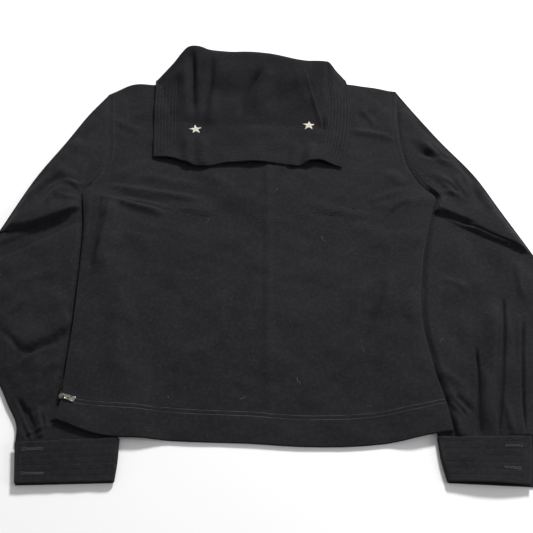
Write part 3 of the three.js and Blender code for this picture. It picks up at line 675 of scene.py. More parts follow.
FELT = felt_group()

# %% Wool
RIM_WEAR = 1.6
SHEEN_TINT = (0.62, 0.60, 0.72, 1)


def wool(name, dye, worn, patches, sheen, rim=0.9, bump=0.5):
    material, tree, shader = new_material(name)
    edge = add_node(tree, "ShaderNodeAttribute", attribute_name="rim_distance").outputs["Fac"]
    near = calculate(tree, "MULTIPLY", to_range(tree, edge, 0.2, RIM_WEAR, 1.0, 0.0), rim)
    felt = add_node(tree, "ShaderNodeGroup", {"Dye": (*dye, 1), "Worn": (*worn, 1),
                    "Patches": patches, "Rim": near}, node_tree=FELT)
    relief = add_node(tree, "ShaderNodeBump", {"Strength": bump, "Distance": 0.0005,
                      "Height": felt.outputs["Height"]})
    fill(tree, shader, {"Base Color": felt.outputs["Color"], "Roughness": felt.outputs["Roughness"],
         "Normal": relief.outputs[0], "Specular IOR Level": 0.16, "Sheen Weight": sheen,
         "Sheen Roughness": 0.45, "Sheen Tint": SHEEN_TINT})
    return material


WOOL = wool("navy_wool", (0.0072, 0.0068, 0.0080), (0.0185, 0.0178, 0.0206), 0.42, 0.035)
COLLAR_WOOL = wool("collar_wool", (0.0058, 0.0055, 0.0065), (0.0150, 0.0145, 0.0168), 0.42, 0.03)

# %% [markdown]
# The back
#
# The back is one panel with a yoke seam in a shallow V and a hem band sewn with two rows. Its
# net is stretched between its four edges, and two of the net's rows run exactly along the seams,
# so that their steps are crisp without a net that is fine everywhere.

# %% The net of the body
def side_y(side, share):
    pit = side["y"][PIT_ROW]
    low = mix(side["y"][0], pit, share / PIT_SHARE)
    high = mix(pit, side["y"][-1], (share - PIT_SHARE) / (1 - PIT_SHARE))
    return np.where(share < PIT_SHARE, low, high)


def body_place(u, v):
    left_y, right_y = side_y(LEFT_SIDE, v), side_y(RIGHT_SIDE, v)
    left_x, right_x = x_of(LEFT_SIDE, left_y), x_of(RIGHT_SIDE, right_y)

    def end(rows):
        x = mix(rows["x"][0], rows["x"][-1], u)
        return x, y_of(rows, x)

    hem_x, hem_y = end(HEM)
    top_x, top_y = end(SHOULDERS)

    def blend(left, right, low, high, axis):
        first, last = LEFT_SIDE[axis], RIGHT_SIDE[axis]
        corners = mix(mix(first[0], last[0], u), mix(first[-1], last[-1], u), v)
        return mix(left, right, u) + mix(low, high, v) - corners

    return blend(left_x, right_x, hem_x, top_x, "x"), blend(left_y, right_y, hem_y, top_y, "y")


RIM = np.array([0.0, 0.08, 0.3, 0.8, 2.0, 4.0])
NEAR_SEAM = np.array([-8.5, -7.2, -6.3, -5.4, -4.5, -3.6, -2.2, -1.1, 0, 1.1, 2.2, 4, 6.5, 8.5, 10])
NET = {"width": 480.0, "hem_band": 42.0, "below_yoke": 325.0, "yoke": 250.0}


def body_net(columns, hem_rows, middle_rows, yoke_rows):
    """Places of a fine net whose rows follow the hem seam and the yoke seam."""
    across = spaced(NET["width"], columns, RIM) / NET["width"]
    dense = np.linspace(0, 1, 500)
    seam_share, yoke_share = [], []
    for u in across:
        x, y = body_place(np.full(dense.shape, u), dense)
        seam_share.append(np.interp(0, y - y_of(HEM_SEAM, x), dense))
        yoke_share.append(np.interp(0, y - y_of(YOKE_SEAM, x), dense))
    below, above = NEAR_SEAM[NEAR_SEAM < 0], NEAR_SEAM[NEAR_SEAM >= 0]
    low = spaced(NET["hem_band"], hem_rows, RIM, NET["hem_band"] + below) / NET["hem_band"]
    marked = np.concatenate([above, NET["below_yoke"] + below])
    middle = spaced(NET["below_yoke"], middle_rows, [0.0], marked) / NET["below_yoke"]
    high = spaced(NET["yoke"], yoke_rows, [0.0], above[1:]) / NET["yoke"]
    high = np.unique(np.round(np.concatenate([high, 1 - RIM[::-1] / NET["yoke"]]), 6))
    steps = np.unique(np.round(np.concatenate([low, 1 + middle, 2 + high]), 6))
    v = np.empty((len(steps), len(across)))
    for j in range(len(across)):
        v[:, j] = np.interp(steps, [0, 1, 2, 3], [0, seam_share[j], yoke_share[j], 1])
    return body_place(np.broadcast_to(across, v.shape), v)


# %% Height of the dressed back
HEM_BAND, HEM_GROOVE = 0.35, 0.4
HEM_ROWS = (0.0, -5.4)
ROW_WIDTH = 1.1
YOKE_SHARE = 0.3
FELL = {"width": 9.0, "height": 0.45, "step": 1.6, "foot": 1.2, "fall": 1.8,
        "groove": 0.3, "groove_width": 0.9}
# The armhole's band: how much stronger than the fell it is, and where it starts above the pit
ARMHOLE = {"gain": 1.2, "pit": 84, "fade": 12, "foot": 1.5, "fall": 2.0}
# Loose creases keep this least share at the sides and the hem, and grow to their full depth inwards
LOOSE = {"least": 0.25, "from_side": 14, "from_hem": 10}
# Where the seams close: below the pit, this close to a side or a shoulder, and this far from the neck
CLOSING = {"pit": 88, "pit_fade": 10, "side": 8, "shoulder": 9, "neck": 92, "neck_fade": 14, "gap": 0.1}
OPEN_ZIP = {"top": -60, "fade": 30}


def side_distance(x, y):
    return x - x_of(LEFT_SIDE, y), x_of(RIGHT_SIDE, y) - x


def fell(distance):
    """A flat-felled seam: a raised band on one side of the line, and a groove along it."""
    band = ease(distance / FELL["step"]) * ease((FELL["width"] + FELL["foot"] - distance) / FELL["fall"])
    groove = np.exp(-(distance / FELL["groove_width"]) ** 2)
    return FELL["height"] * band - FELL["groove"] * groove


def back_relief(x, y):
    above_hem = y - y_of(HEM_SEAM, x)
    above_yoke = y - y_of(YOKE_SEAM, x)
    band = HEM_BAND * ease((4 - above_hem) / 4)
    rows = sum(np.exp(-((above_hem - row) / ROW_WIDTH) ** 2) for row in HEM_ROWS)
    relief = band - HEM_GROOVE * rows + YOKE_SHARE * fell(above_yoke)
    left, right = side_distance(x, y)
    above_pit = ease((y - ARMHOLE["pit"]) / ARMHOLE["fade"]) * FELL["height"] * ARMHOLE["gain"]
    for side in (left, right):
        relief = relief + above_pit * ease((FELL["width"] + ARMHOLE["foot"] - side) / ARMHOLE["fall"])
    inwards = ease(np.minimum(left, right) / LOOSE["from_side"])
    inwards = inwards * ease((y - y_of(HEM, x)) / LOOSE["from_hem"])
    loose = waves(x, y, seed=5, height=0.55) + CREASE_DEPTH * folds_at(BODY_CREASES, x, y)
    return relief + loose * mix(LOOSE["least"], 1, inwards)


def closing(x, y):
    """How far the sewn side and shoulder seams pull the back down onto the front."""
    left, right = side_distance(x, y)
    below_pit = ease((CLOSING["pit"] - y) / CLOSING["pit_fade"])
    zipped = zip_reach(y) * ease((OPEN_ZIP["top"] - y) / OPEN_ZIP["fade"])
    left_seam = ease(1 - left / CLOSING["side"]) * below_pit * (1 - zipped)
    right_seam = ease(1 - right / CLOSING["side"]) * below_pit
    from_neck = ease((np.abs(x - NECK["x"]) - CLOSING["neck"]) / CLOSING["neck_fade"])
    shoulder = ease(1 - (y_of(SHOULDERS, x) - y) / CLOSING["shoulder"]) * from_neck
    pull = np.maximum(np.maximum(left_seam, right_seam), shoulder)
    return pull * (back_bottom(x, y) - front_top(x, y) - CLOSING["gap"])


def back_dressed(x, y):
    """The level of the back's upper face."""
    return np.maximum(back_top(x, y) + back_relief(x, y), front_top(x, y) + CLOTH + 0.2) - closing(x, y)


# %% The back panel
x, y = body_net(columns=196, hem_rows=10, middle_rows=94, yoke_rows=62)
middle = np.stack([x, y, back_dressed(x, y) - CLOTH / 2], axis=2)
back = shell("back_cloth", middle, rim_distance(x, y), CLOTH / 2, WOOL)

# %% The front panel
FRONT = {"below_neck": 400.0, "above_neck": 220.0, "left": -241, "width": 450.0, "peek_columns": 9}


def make_front():
    """The front's net has two halves of columns, which part above the point of the neck."""
    half = spaced(NET["width"] / 2, 44, RIM) / NET["width"]
    across = np.concatenate([half, 0.5 + half])
    halfway = len(half)
    split = halfway - 1
    dense = np.linspace(0, 1, 500)
    centre_y = body_place(np.full(dense.shape, 0.5), dense)[1]
    point_v = float(np.interp(NECK["y"], centre_y, dense))
    low = spaced(FRONT["below_neck"], 60, RIM) / FRONT["below_neck"] * point_v
    high = point_v + (1 - point_v) * spaced(FRONT["above_neck"], 40, RIM) / FRONT["above_neck"]
    rows = np.unique(np.concatenate([low, high]))
    v = np.broadcast_to(rows[:, None], (len(rows), len(across)))
    share = clamp((rows[:, None] - point_v) / (1 - point_v))
    left_end, right_end = (clamp((mix(NECK["x"], NECK[side], share) - FRONT["left"]) / FRONT["width"])
                           for side in ("left", "right"))
    u = np.empty(v.shape)
    u[:, :halfway] = across[:halfway] / across[split] * left_end
    high_u = (across[halfway:] - across[halfway]) / (across[-1] - across[halfway])
    u[:, halfway:] = right_end + high_u * (1 - right_end)
    x, y = body_place(u, v)
    x = x - front_peek(y) * clamp(1 - np.arange(len(across)) / FRONT["peek_columns"])
    keep = np.ones((v.shape[0] - 1, v.shape[1] - 1), dtype=bool)
    keep[:, split] = False
    near_neck = np.full(v.shape, 99.0)
    open_rows = rows > point_v - 1e-9
    near_neck[open_rows, :halfway] = np.abs(x[open_rows, :halfway] - x[open_rows, split][:, None])
    near_neck[open_rows, halfway:] = np.abs(x[open_rows, halfway:] - x[open_rows, halfway][:, None])
    near = np.minimum(rim_distance(x, y), near_neck)
    middle = np.stack([x, y, front_bottom(x, y) + CLOTH / 2], axis=2)
    return shell("front_cloth", middle, near, CLOTH / 2, WOOL, on_table=True, keep=keep)


front = make_front()

# %% [markdown]
# The sleeves
#
# Each sleeve is a flattened tube. A row of its table gives the two ends of one section. A ring
# goes over the top from the inner to the outer end and comes back along the table. Near the
# ends of a section the ring turns round with a small radius, as pressed wool does.

# %% The sleeves
SLEEVE_RISE = 9
LAST_ROW = 14.0
ROW_LENGTH = 24.0
# How far the last rings reach past the table's last row, and where the turn at an end of a ring has
# its points, counted in radii
INTO_CUFF = np.array([1.5, 3.0, 5.0, 5.7, 6.0])
TURN = np.array([0, 0.06, 0.22, 0.5, 0.9, 1.4])
# The sleeve's head is tucked under the body and comes out of the seam over some rows of its table
HEAD = {"tucked": -0.5, "rows": 1.5}
# How quickly the puff and the loose folds grow from the outer end inwards
INWARDS = {"puff": 5, "loose": 8}
# The least height of the upper layer beyond the seam, and the room that it keeps beside the body
SLEEVE_LEAST, BESIDE = 3.6, {"height": 2.0, "from": 30, "fade": 20}
# Where the sleeve goes into the cuff: its highest top, its raised underside and how far it draws in
SQUEEZE = {"length": 3.0, "top": 5.5, "low": 2.5, "in": 5.0}


def sleeve_place(sleeve, side, outward, k, w, seam):
    def at(column):
        return read(sleeve, "step", k, column)

    in_x, in_y, out_x, out_y = (at(c) for c in ("inX", "inY", "outX", "outY"))
    pit, tip = sleeve["inY"][0], sleeve["outY"][0]
    straight = mix(sleeve["inX"][0], sleeve["outX"][0], w)
    curve = (x_of(side, mix(pit, tip, w)) - straight) * at("armhole")
    length = np.hypot(out_x - in_x, out_y - in_y)
    bend = at("sag") * 4 * w * (1 - w) * outward / length
    x = mix(in_x, out_x, w) + curve + outward * seam - (out_y - in_y) * bend
    y = mix(in_y, out_y, w) + (out_x - in_x) * bend
    return x, y, length


def make_sleeve(name, sleeve, side, folds, creases, outward, seed, sections=180, over=120, under=20):
    start = np.array([0.0, 0.004, 0.014, 0.03])
    k = np.concatenate([start, np.linspace(0.06, LAST_ROW, sections), np.full(len(INTO_CUFF), LAST_ROW)])
    past = np.concatenate([np.zeros(len(k) - len(INTO_CUFF)), INTO_CUFF])[:, None]
    k = k[:, None]
    seam = mix(HEAD["tucked"], SEAM, ease(k / HEAD["rows"]))
    length = sleeve_place(sleeve, side, outward, k, 0.5, seam)[2]
    radius = read(sleeve, "step", k, "flat") / 2
    ends = TURN[None, :] * radius / length

    def between(count):
        return ends[:, -1:] + (1 - 2 * ends[:, -1:]) * np.linspace(0, 1, count)[None, 1:-1]

    top_w = np.concatenate([ends, between(over), 1 - ends[:, ::-1]], axis=1)
    low_w = np.concatenate([ends[:, 1:], between(under), 1 - ends[:, :0:-1]], axis=1)[:, ::-1]
    last_in_x, last_in_y, last_out_x, last_out_y = (sleeve[c][-1] for c in ("inX", "inY", "outX", "outY"))
    down = np.array([last_out_y - last_in_y, last_in_x - last_out_x])
    down = down * -np.sign(down[1]) / np.linalg.norm(down)

    def layer(w, top):
        x, y, _ = sleeve_place(sleeve, side, outward, k, w, seam)
        flat, puff = read(sleeve, "step", k, "flat"), read(sleeve, "step", k, "puff")
        beyond = outward * (x - x_of(side, y)) - (front_peek(y) if outward < 0 else 0)
        outside = ease((beyond - 1) / SLEEVE_RISE)
        free = ease((beyond - 0.5) / 5)
        inwards = ease(INWARDS["loose"] * (1 - w))
        loose = folds_at(folds, x, y) + CREASE_DEPTH * folds_at(creases, x, y) + waves(x, y, seed, 0.6)
        soft = flat + puff * outside * ease(INWARDS["puff"] * (1 - w)) + free * inwards * loose
        beside = BESIDE["height"] * inwards * ease((BESIDE["from"] - beyond) / BESIDE["fade"])
        soft = np.maximum(soft, mix(flat, SLEEVE_LEAST + beside, free))
        turned = rim_share(np.minimum(w, 1 - w) * length, radius)
        squeeze = ease(past / SQUEEZE["length"])
        low_z = mix(0.0, SQUEEZE["low"], squeeze)
        if top:
            top_z = mix(soft, np.minimum(soft, SQUEEZE["top"]), squeeze)
            z = np.maximum(flat / 2 + (top_z - flat / 2) * turned, low_z)
        else:
            z = np.minimum(flat / 2 * (1 - turned) + low_z, SQUEEZE["low"] + 0.1)
        x = x + down[0] * past + outward * squeeze * SQUEEZE["in"] * (1 - 2 * w)
        return np.stack([x, y + down[1] * past, z], axis=2)

    outer = np.concatenate([layer(top_w, True), layer(low_w, False)], axis=1)
    normal = normals_of(outer, ring=True)
    centre = outer.mean(axis=1, keepdims=True)
    on_top = over // 2
    sign = np.sign(np.sum(normal[:, on_top] * (outer[:, on_top] - centre[:, 0]), axis=1).mean())
    inner = outer - sign * normal * CLOTH
    least = np.minimum(outer[..., 2], CLOTH + 0.1)
    least[:, top_w.shape[1]:] = outer[:, top_w.shape[1]:, 2] + CLOTH / 4
    inner[..., 2] = np.maximum(inner[..., 2], least)
    near = np.minimum(k * ROW_LENGTH, INTO_CUFF[-1] - past + np.where(past > 0, 0, 99))
    middle, half = (outer + inner) / 2, (outer - inner) / 2 * rim_share(near, CLOTH / 2)[..., None]
    return closed_cloth(name, middle + half, middle - half, WOOL, near, ring=True)


left_sleeve = make_sleeve("left_sleeve_cloth", LEFT_SLEEVE, LEFT_SIDE, LEFT_SLEEVE_FOLDS,
                          LEFT_SLEEVE_CREASES, -1, 11)
right_sleeve = make_sleeve("right_sleeve_cloth", RIGHT_SLEEVE, RIGHT_SIDE, RIGHT_SLEEVE_FOLDS,
                           RIGHT_SLEEVE_CREASES, 1, 12)

# %% [markdown]
# The cuffs
#
# A cuff is a doubled band. It goes round a fold at one side, and its two ends button over each
# other at the other side. At the right cuff the under end shows, because it reaches further out.

# %% The cuffs
LEFT_CUFF = table("inX inY outX outY",
    [-165, -305.6, -288.5, -311.8], [-164.5, -334, -284.5, -339], [-166, -361, -281, -364])
RIGHT_CUFF = table("inX inY outX outY",
    [213, -304, 326, -303.6], [214.5, -333, 321, -335], [219, -361, 315, -366])
CUFF_SPACE = 3.6
UNDERLAP = 17
CUFF_DEPTH = 58.0
CUFF_ROWS = (7.6, 16.0, 24.5, 33.0, 41.5, 50.4)
CUFF_GROOVE = 0.28


def cuff_frame(rows, k, underlap, mouth_lift):
    """Functions for places on a cuff's upper layer, lower layer and fold, and the sizes they use."""
    middle = CUFF_CLOTH + CUFF_SPACE / 2
    radius = (CUFF_SPACE + CUFF_CLOTH) / 2
    in_x, in_y, out_x, out_y = (read(rows, "step", k, c) for c in ("inX", "inY", "outX", "outY"))
    length = np.hypot(out_x - in_x, out_y - in_y)
    start = radius + CUFF_CLOTH / 2
    down = k / (len(rows["step"]) - 1)

    def place(distance, z):
        share = distance / length
        return np.stack([mix(in_x, out_x, share), mix(in_y, out_y, share), z + 0 * share], axis=-1)

    def upper(distance):
        bulge = np.sin(math.pi * clamp((distance - start) / (length - start)))
        return place(distance, middle + radius + mouth_lift * down ** 2 * np.maximum(0, bulge))

    def lower(distance):
        return place(distance + underlap * (distance - start) / (length - start), CUFF_CLOTH / 2)

    def arc(angle):
        return place(start - radius * np.sin(angle), middle - radius * np.cos(angle))

    return upper, lower, arc, start, length


CUFF_RIM = np.array([0.0, 0.12, 0.45, 1.1, 2.4, 3.4, 4.6])
CUFF_NET = {"rows": 56, "flat": 34, "turn": 15, "edge": 5, "fade": 8}


def make_cuff(name, rows, underlap, mouth_lift, seed):
    depth = spaced(CUFF_DEPTH, CUFF_NET["rows"], CUFF_RIM[:-1], [CUFF_RIM[-1], CUFF_DEPTH - CUFF_RIM[-1]])
    k = (depth / CUFF_DEPTH * 2)[:, None]
    upper, lower, arc, start, length = cuff_frame(rows, k, underlap, mouth_lift)
    flat = np.linspace(0, 1, CUFF_NET["flat"])[None, 1:]
    inside = length - CUFF_NET["edge"]
    to_edge = np.concatenate([length - CUFF_RIM[None, :], inside - (inside - start) * flat], axis=1)
    turn = arc(np.linspace(0, math.pi, CUFF_NET["turn"])[None, 1:-1] + 0 * k)
    middle = np.concatenate([lower(to_edge), turn, upper(to_edge[:, ::-1])], axis=1)
    lines = sum(np.exp(-((depth - row) / ROW_WIDTH) ** 2) for row in CUFF_ROWS)
    ripple = waves(middle[..., 0], middle[..., 1], seed, height=0.25, longest=60, shortest=18)
    ripple = ripple - CUFF_GROOVE * lines[:, None]
    count = to_edge.shape[1]
    middle[:, -count:, 2] += ripple[:, -count:] * ease((length - to_edge[:, ::-1]) / CUFF_NET["fade"])
    along = reach_along(middle, 1)
    side = np.minimum(along, along[:, -1:] - along)
    end = np.minimum(depth, CUFF_DEPTH - depth)[:, None]
    return shell(name, middle, np.minimum(side, end), CUFF_CLOTH / 2, WOOL, on_table=True)


left_cuff = make_cuff("left_cuff_cloth", LEFT_CUFF, 0, 0, 21)
right_cuff = make_cuff("right_cuff_cloth", RIGHT_CUFF, UNDERLAP, 3, 22)

# %% [markdown]
# The collar
#
# The collar is one doubled cloth that goes all round the neck. A section of it runs from its
# outer edge up to the fold at the top of the neck and down to the neck seam. A row of the table
# is one such section. Sections under the front lie on the table, and those behind the neck lie
# on the back, with a high round fold between.

# %% The collar's sections
COLLAR = table("edgeX edgeY over lies foldX foldY foldZ round turn seamX seamY",
    [-131, 262, 0, 0.85, -99, 324, 3.2, 1.9, -180, -97, 319],
    [-140, 277, 0, 0.6, -102, 340, 9, 2.6, -172, -95.5, 320],
    [-149, 293, 0, 0.36, -105, 353, 17, 3.6, -150, -94, 321],
    [-158, 312, 0, 0.12, -107.5, 361, 23, 4.4, -115, -92, 321.5],
    [-162, 313, 0.5, 0.06, -108, 365, 26, 5, -85, -90, 321.5],
    [-164, 310, 1, 0.06, -107, 367, 28, 5.4, -55, -87, 320.5],
    [-163, 285, 1, 0.15, -103, 369, 29, 5.6, -25, -82, 318.5],
    [-162, 250, 1, 0.22, -97, 369, 29, 5.8, -8, -76, 315],
    [-160, 205, 1, 0.28, -90, 366, 29, 6, 0, -69, 311],
    [-157, 152, 1, 0.33, -80, 361, 28.5, 6, 0, -60, 307.5],
    [-126, 147, 1, 0.34, -62, 358, 28, 6, 0, -47, 304.6],
    [-88, 131, 1, 0.36, -44, 356, 28, 6, 0, -33, 302.6],
    [-50, 136, 1, 0.36, -24, 356, 28.5, 6, 0, -18, 301.4],
    [-14, 137.5, 1, 0.36, -4, 355, 28.5, 6, 0, -3, 301],
    [20, 136, 1, 0.36, 16, 352, 28, 6, 0, 12, 301.2],
    [56, 131, 1, 0.37, 34, 347, 27.5, 6, 0, 28, 302.2],
    [86, 140, 1, 0.37, 50, 342, 27.5, 6, 0, 42, 304],
    [120, 131, 1, 0.35, 66, 338, 27.5, 6, 0, 57, 306.8],
    [130, 172, 1, 0.32, 76, 336, 27.5, 5.8, 0, 67, 310],
    [137, 215, 1, 0.27, 85, 335, 28, 5.6, 4, 75, 314],
    [140, 258, 1, 0.2, 92, 334, 28, 5.4, 15, 82, 317.5],
    [139, 287, 1, 0.15, 97, 334, 27, 5, 35, 87, 319.5],
    [135, 311.5, 1, 0.06, 100, 335, 25, 4.8, 60, 90, 320.5],
    [133, 313, 0.5, 0.06, 101, 335, 22, 4.4, 90, 92, 320.5],
    [130, 312.5, 0, 0.1, 101, 333, 17, 3.6, 120, 93, 320],
    [132, 292, 0, 0.64, 100, 331, 10, 2.6, 160, 94.5, 319.5],
    [121, 270, 0, 0.82, 98, 325, 3.2, 1.9, 180, 96, 319])
CORNERS = (9, 17)
FLAP_WAVES = table("x width height", [-130, 44, 5], [-16, 64, 4], [88, 32, 5.5], [140, 24, 2])
WAVE_FROM, WAVE_TO = 128, 190
FLAP_CREASES = table(FOLDS,
    [-108, 366, -101, 226, 0, -3.4, 9, 12, 0.25],
    [-122, 340, -118, 250, 3, 1.6, 14, 14, 0.35],
    [-74, 350, -86, 222, 2, -2.6, 9, 12, 0.3],
    [-80, 300, -74, 190, 3, 1.2, 14, 14, 0.4],
    [5, 322, -32, 226, -4, -3.6, 7, 10, 0.3],
    [24, 330, -14, 232, -4, 1.6, 12, 10, 0.35],
    [97, 228, 91, 188, 2, -1.2, 3, 5, 0.3],
    [28, 322, -12, 226, 0, 1.4, 12, 16, 0.4],
    [109, 350, 104, 252, 0, -1.8, 9, 9, 0.3],
    [60, 330, 74, 250, -4, 1.0, 16, 16, 0.4],
    [-84, 196, -80, 122, 0, 1.9, 9, 18, 0.25],
    [-110, 196, -106, 122, 0, 1.7, 14, 8, 0.25],
    [80, 184, 70, 122, 0, 1.7, 8, 14, 0.25],
    [54, 184, 42, 122, 0, 1.5, 16, 8, 0.25],
    [-30, 200, 30, 196, 4, 0.8, 16, 16, 0.4],
    [96, 236, 84, 170, 3, -1.0, 9, 9, 0.35])


def flap_level(x, y):
    wave = np.zeros(np.shape(x))
    for place, width, height in zip(FLAP_WAVES["x"], FLAP_WAVES["width"], FLAP_WAVES["height"]):
        wave = wave + height * ease(1 - np.abs(x - place) / width)
    near_edge = ease((WAVE_TO - y) / (WAVE_TO - WAVE_FROM))
    return back_top(x, y) + COLLAR_REST + COLLAR_CLOTH / 2 + wave * near_edge


def curve_through(points, places):
    """Centripetal Catmull-Rom through a list of point arrays, at places counted in points."""
    count = len(points)
    found = []
    for place in places:
        i = min(int(place), count - 2)
        weight = place - i
        p1, p2 = points[i], points[i + 1]
        p0 = points[i - 1] if i > 0 else 2 * points[0] - points[1]
        p3 = points[i + 2] if i + 2 < count else 2 * points[-1] - points[-2]
        d0, d1, d2 = (np.maximum(np.linalg.norm(b - a, axis=-1, keepdims=True), 1e-4) ** 0.5
                      for a, b in ((p0, p1), (p1, p2), (p2, p3)))
        t1 = ((p1 - p0) / d0 - (p2 - p0) / (d0 + d1) + (p2 - p1) / d1) * d1
        t2 = ((p2 - p1) / d1 - (p3 - p1) / (d1 + d2) + (p3 - p2) / d2) * d1
        cubic = 2 * p1 - 2 * p2 + t1 + t2
        square = -3 * p1 + 3 * p2 - 2 * t1 - t2
        found.append(((cubic * weight + square) * weight + t1) * weight + p1)
    return found


STITCH_ROWS = (3.0, 8.0, 13.0, 18.0, 23.0, 28.0, 33.0)
EDGE_PLACES = np.concatenate([[0, 0.12, 0.45, 1.2], np.arange(2.0, 37.0, 0.95)])
QUILT_GROOVE = 0.32
BEHIND = (4.5, 22.5)


def quilting(distance):
    """The grooves that rows of stitches pull into doubled cloth."""
    return -QUILT_GROOVE * sum(np.exp(-(distance - row) ** 2) for row in STITCH_ROWS)


def flap_creases(x, y, step):
    """Loose creases, which fade where the collar turns over the shoulders."""
    calm = ease((step - BEHIND[0]) / 2.5) * ease((BEHIND[1] - step) / 2.0)
    loose = waves(x, y, seed=31, height=0.45, longest=90, shortest=30)
    return (CREASE_DEPTH * folds_at(FLAP_CREASES, x, y) + loose) * calm[:, None]


def edge_point(step):
    return np.stack([read(COLLAR, "step", step, "edgeX", CORNERS),
                     read(COLLAR, "step", step, "edgeY", CORNERS)], axis=-1)


def distance_from_edge(x, y, step):
    """Each flap point's distance from the stretch of edge on its own side of the shoulders."""
    found = np.empty(x.shape)
    ends = [0.0, *BEHIND, len(COLLAR["step"]) - 1.0]
    for low, high in zip(ends[:-1], ends[1:]):
        edge = edge_point(np.unique(np.concatenate([np.linspace(low, high, 240),
                                                    [c for c in CORNERS if low < c < high]])))
        start, way = edge[:-1], np.diff(edge, axis=0)
        size = np.sum(way ** 2, axis=1)
        for i in np.nonzero((step >= low) & (step <= high))[0]:
            from_x, from_y = x[i][:, None] - start[:, 0], y[i][:, None] - start[:, 1]
            t = clamp((from_x * way[:, 0] + from_y * way[:, 1]) / size)
            found[i] = np.hypot(from_x - t * way[:, 0], from_y - t * way[:, 1]).min(axis=1)
    return found


# How the collar is formed: the seam's level at the front ends, the sections over which the slant of
# the edge is averaged, its least slant, the share of the flap that the fine places may take, where
# the stand bends, how far the flap's rise hangs, and where its creases have faded
FORM = {"front_seam": 4.4, "average": 0.45, "least_slant": 0.3, "fine_share": 0.8, "stand": 0.55,
        "hang": 0.6, "faded": 3.2, "fade": 2.0}
ROUND_THE_FOLD = np.concatenate([np.linspace(0, 2, 50)[1:], np.linspace(2, 6, 26)[1:]])


def collar_net(step, flap_count=12):
    """Middle points of the collar, a row for each section."""
    def at(column):
        return read(COLLAR, "step", step, column)

    edge = edge_point(step)
    fold = np.stack([at("foldX"), at("foldY"), at("foldZ")], axis=-1)
    over = at("over")
    seam_xy = (at("seamX"), at("seamY"))
    seam_z = mix(FORM["front_seam"], back_bottom(*seam_xy) + CLOTH / 2, over)
    seam = np.stack([*seam_xy, seam_z], axis=-1)
    way = fold[:, :2] - edge
    reach = np.linalg.norm(way, axis=1, keepdims=True)
    way = way / reach
    turn = np.radians(at("turn"))
    facing = np.stack([way[:, 1] * np.sin(turn), -way[:, 0] * np.sin(turn), np.cos(turn)], axis=-1)
    way3 = np.concatenate([way, np.zeros((len(step), 1))], axis=1)
    radius = at("round")[:, None]
    upper = fold - way3 * radius + facing * radius
    lower = fold - way3 * radius - facing * radius
    ahead, behind = edge_point(step + 0.01), edge_point(step - 0.01)
    tangent = (ahead - behind) / np.maximum(np.linalg.norm(ahead - behind, axis=1, keepdims=True), 1e-9)
    slant = np.abs(way[:, :1] * tangent[:, 1:] - way[:, 1:] * tangent[:, :1])
    near_steps = np.exp(-((step[:, None] - step) / FORM["average"]) ** 2) * np.gradient(step)
    slant = np.maximum(near_steps @ slant / near_steps.sum(axis=1, keepdims=True), FORM["least_slant"])
    lies = at("lies")[:, None] * reach
    wanted = EDGE_PLACES[None, :] / slant
    fit = np.minimum(1.0, lies * FORM["fine_share"] / wanted[:, -1:])
    near = wanted * fit
    rest = near[:, -1:] + (lies - near[:, -1:]) * np.linspace(0, 1, flap_count)[None, 1:]
    places = np.concatenate([near, rest], axis=1)
    share = places / reach
    x = mix(edge[:, :1], fold[:, :1], share)
    y = mix(edge[:, 1:], fold[:, 1:2], share)
    distance = distance_from_edge(x, y, step)
    level = mix(COLLAR_CLOTH / 2, flap_level(x, y), over[:, None])
    loose = flap_creases(x, y, step)
    lowest = over[:, None] * (back_dressed(x, y) + COLLAR_CLOTH / 2 + 0.15)
    flap = np.stack([x, y, np.maximum(level + over[:, None] * quilting(distance) + loose, lowest)], axis=2)
    bare = flap[:, -1] - [0, 0, 1] * loose[:, -1:]
    stand = mix(lower, seam, FORM["stand"])
    rise = mix(bare, upper, 0.5) - [0, 0, FORM["hang"]]
    curve = np.stack(curve_through([bare, rise, upper, fold, lower, stand, seam], ROUND_THE_FOLD), axis=1)
    normal = normals_of(np.concatenate([flap[:, -2:-1], curve], axis=1))[:, 1:]
    fade = ease((FORM["faded"] - ROUND_THE_FOLD) / FORM["fade"])[None, :]
    creases = flap_creases(curve[..., 0], curve[..., 1], step)
    sign = np.sign(normal[len(step) // 2, 0, 2])
    curve = curve + sign * normal * (creases * fade)[..., None]
    return np.concatenate([flap, curve], axis=1)


COLLAR_STEP = 17.0


def make_collar():
    rim = np.array([0.0, 0.006, 0.02, 0.06])
    last = len(COLLAR["step"]) - 1
    tight = np.array([0.01, 0.03, 0.06, 0.1, 0.15])
    round_corners = np.concatenate([c + np.concatenate([-tight, [0], tight]) for c in CORNERS])
    step = np.concatenate([rim, np.linspace(0.12, last - 0.12, 250), last - rim[::-1], round_corners])
    step = np.unique(np.round(step, 5))
    middle = collar_net(step)
    near_end = np.minimum(step, last - step)[:, None] * COLLAR_STEP
    along = reach_along(middle, 1)
    near = np.minimum(np.minimum(along, along[:, -1:] - along), near_end)
    return shell("collar_cloth", middle, near, COLLAR_CLOTH / 2, COLLAR_WOOL, on_table=True)


collar = make_collar()

# %% The lapels, which lie under the front
def make_lapel(name, side, spread):
    sign = 1 if side > NECK["x"] else -1
    along = spaced(200.0, 26, RIM) / 200.0
    across = spaced(60.0, 12, RIM) / 60.0
    y = mix(NECK["y"] + 5, LAPEL["top"], along)[:, None]
    top = NECK["top"] - NECK["y"]
    inner = mix(NECK["x"], side, (y - NECK["y"]) / top) + sign
    outer = NECK["x"] + sign * lapel_edge(y, spread)
    x = mix(inner, outer, across[None, :])
    y = y + 0 * x
    middle = np.stack([x, y, np.full(x.shape, COLLAR_CLOTH / 2)], axis=2)
    return shell(name, middle, rim_distance(x, y), COLLAR_CLOTH / 2, WOOL, on_table=True)


lapels = [make_lapel("lapel_left_cloth", NECK["left"], LAPEL["left"]),
          make_lapel("lapel_right_cloth", NECK["right"], LAPEL["right"])]

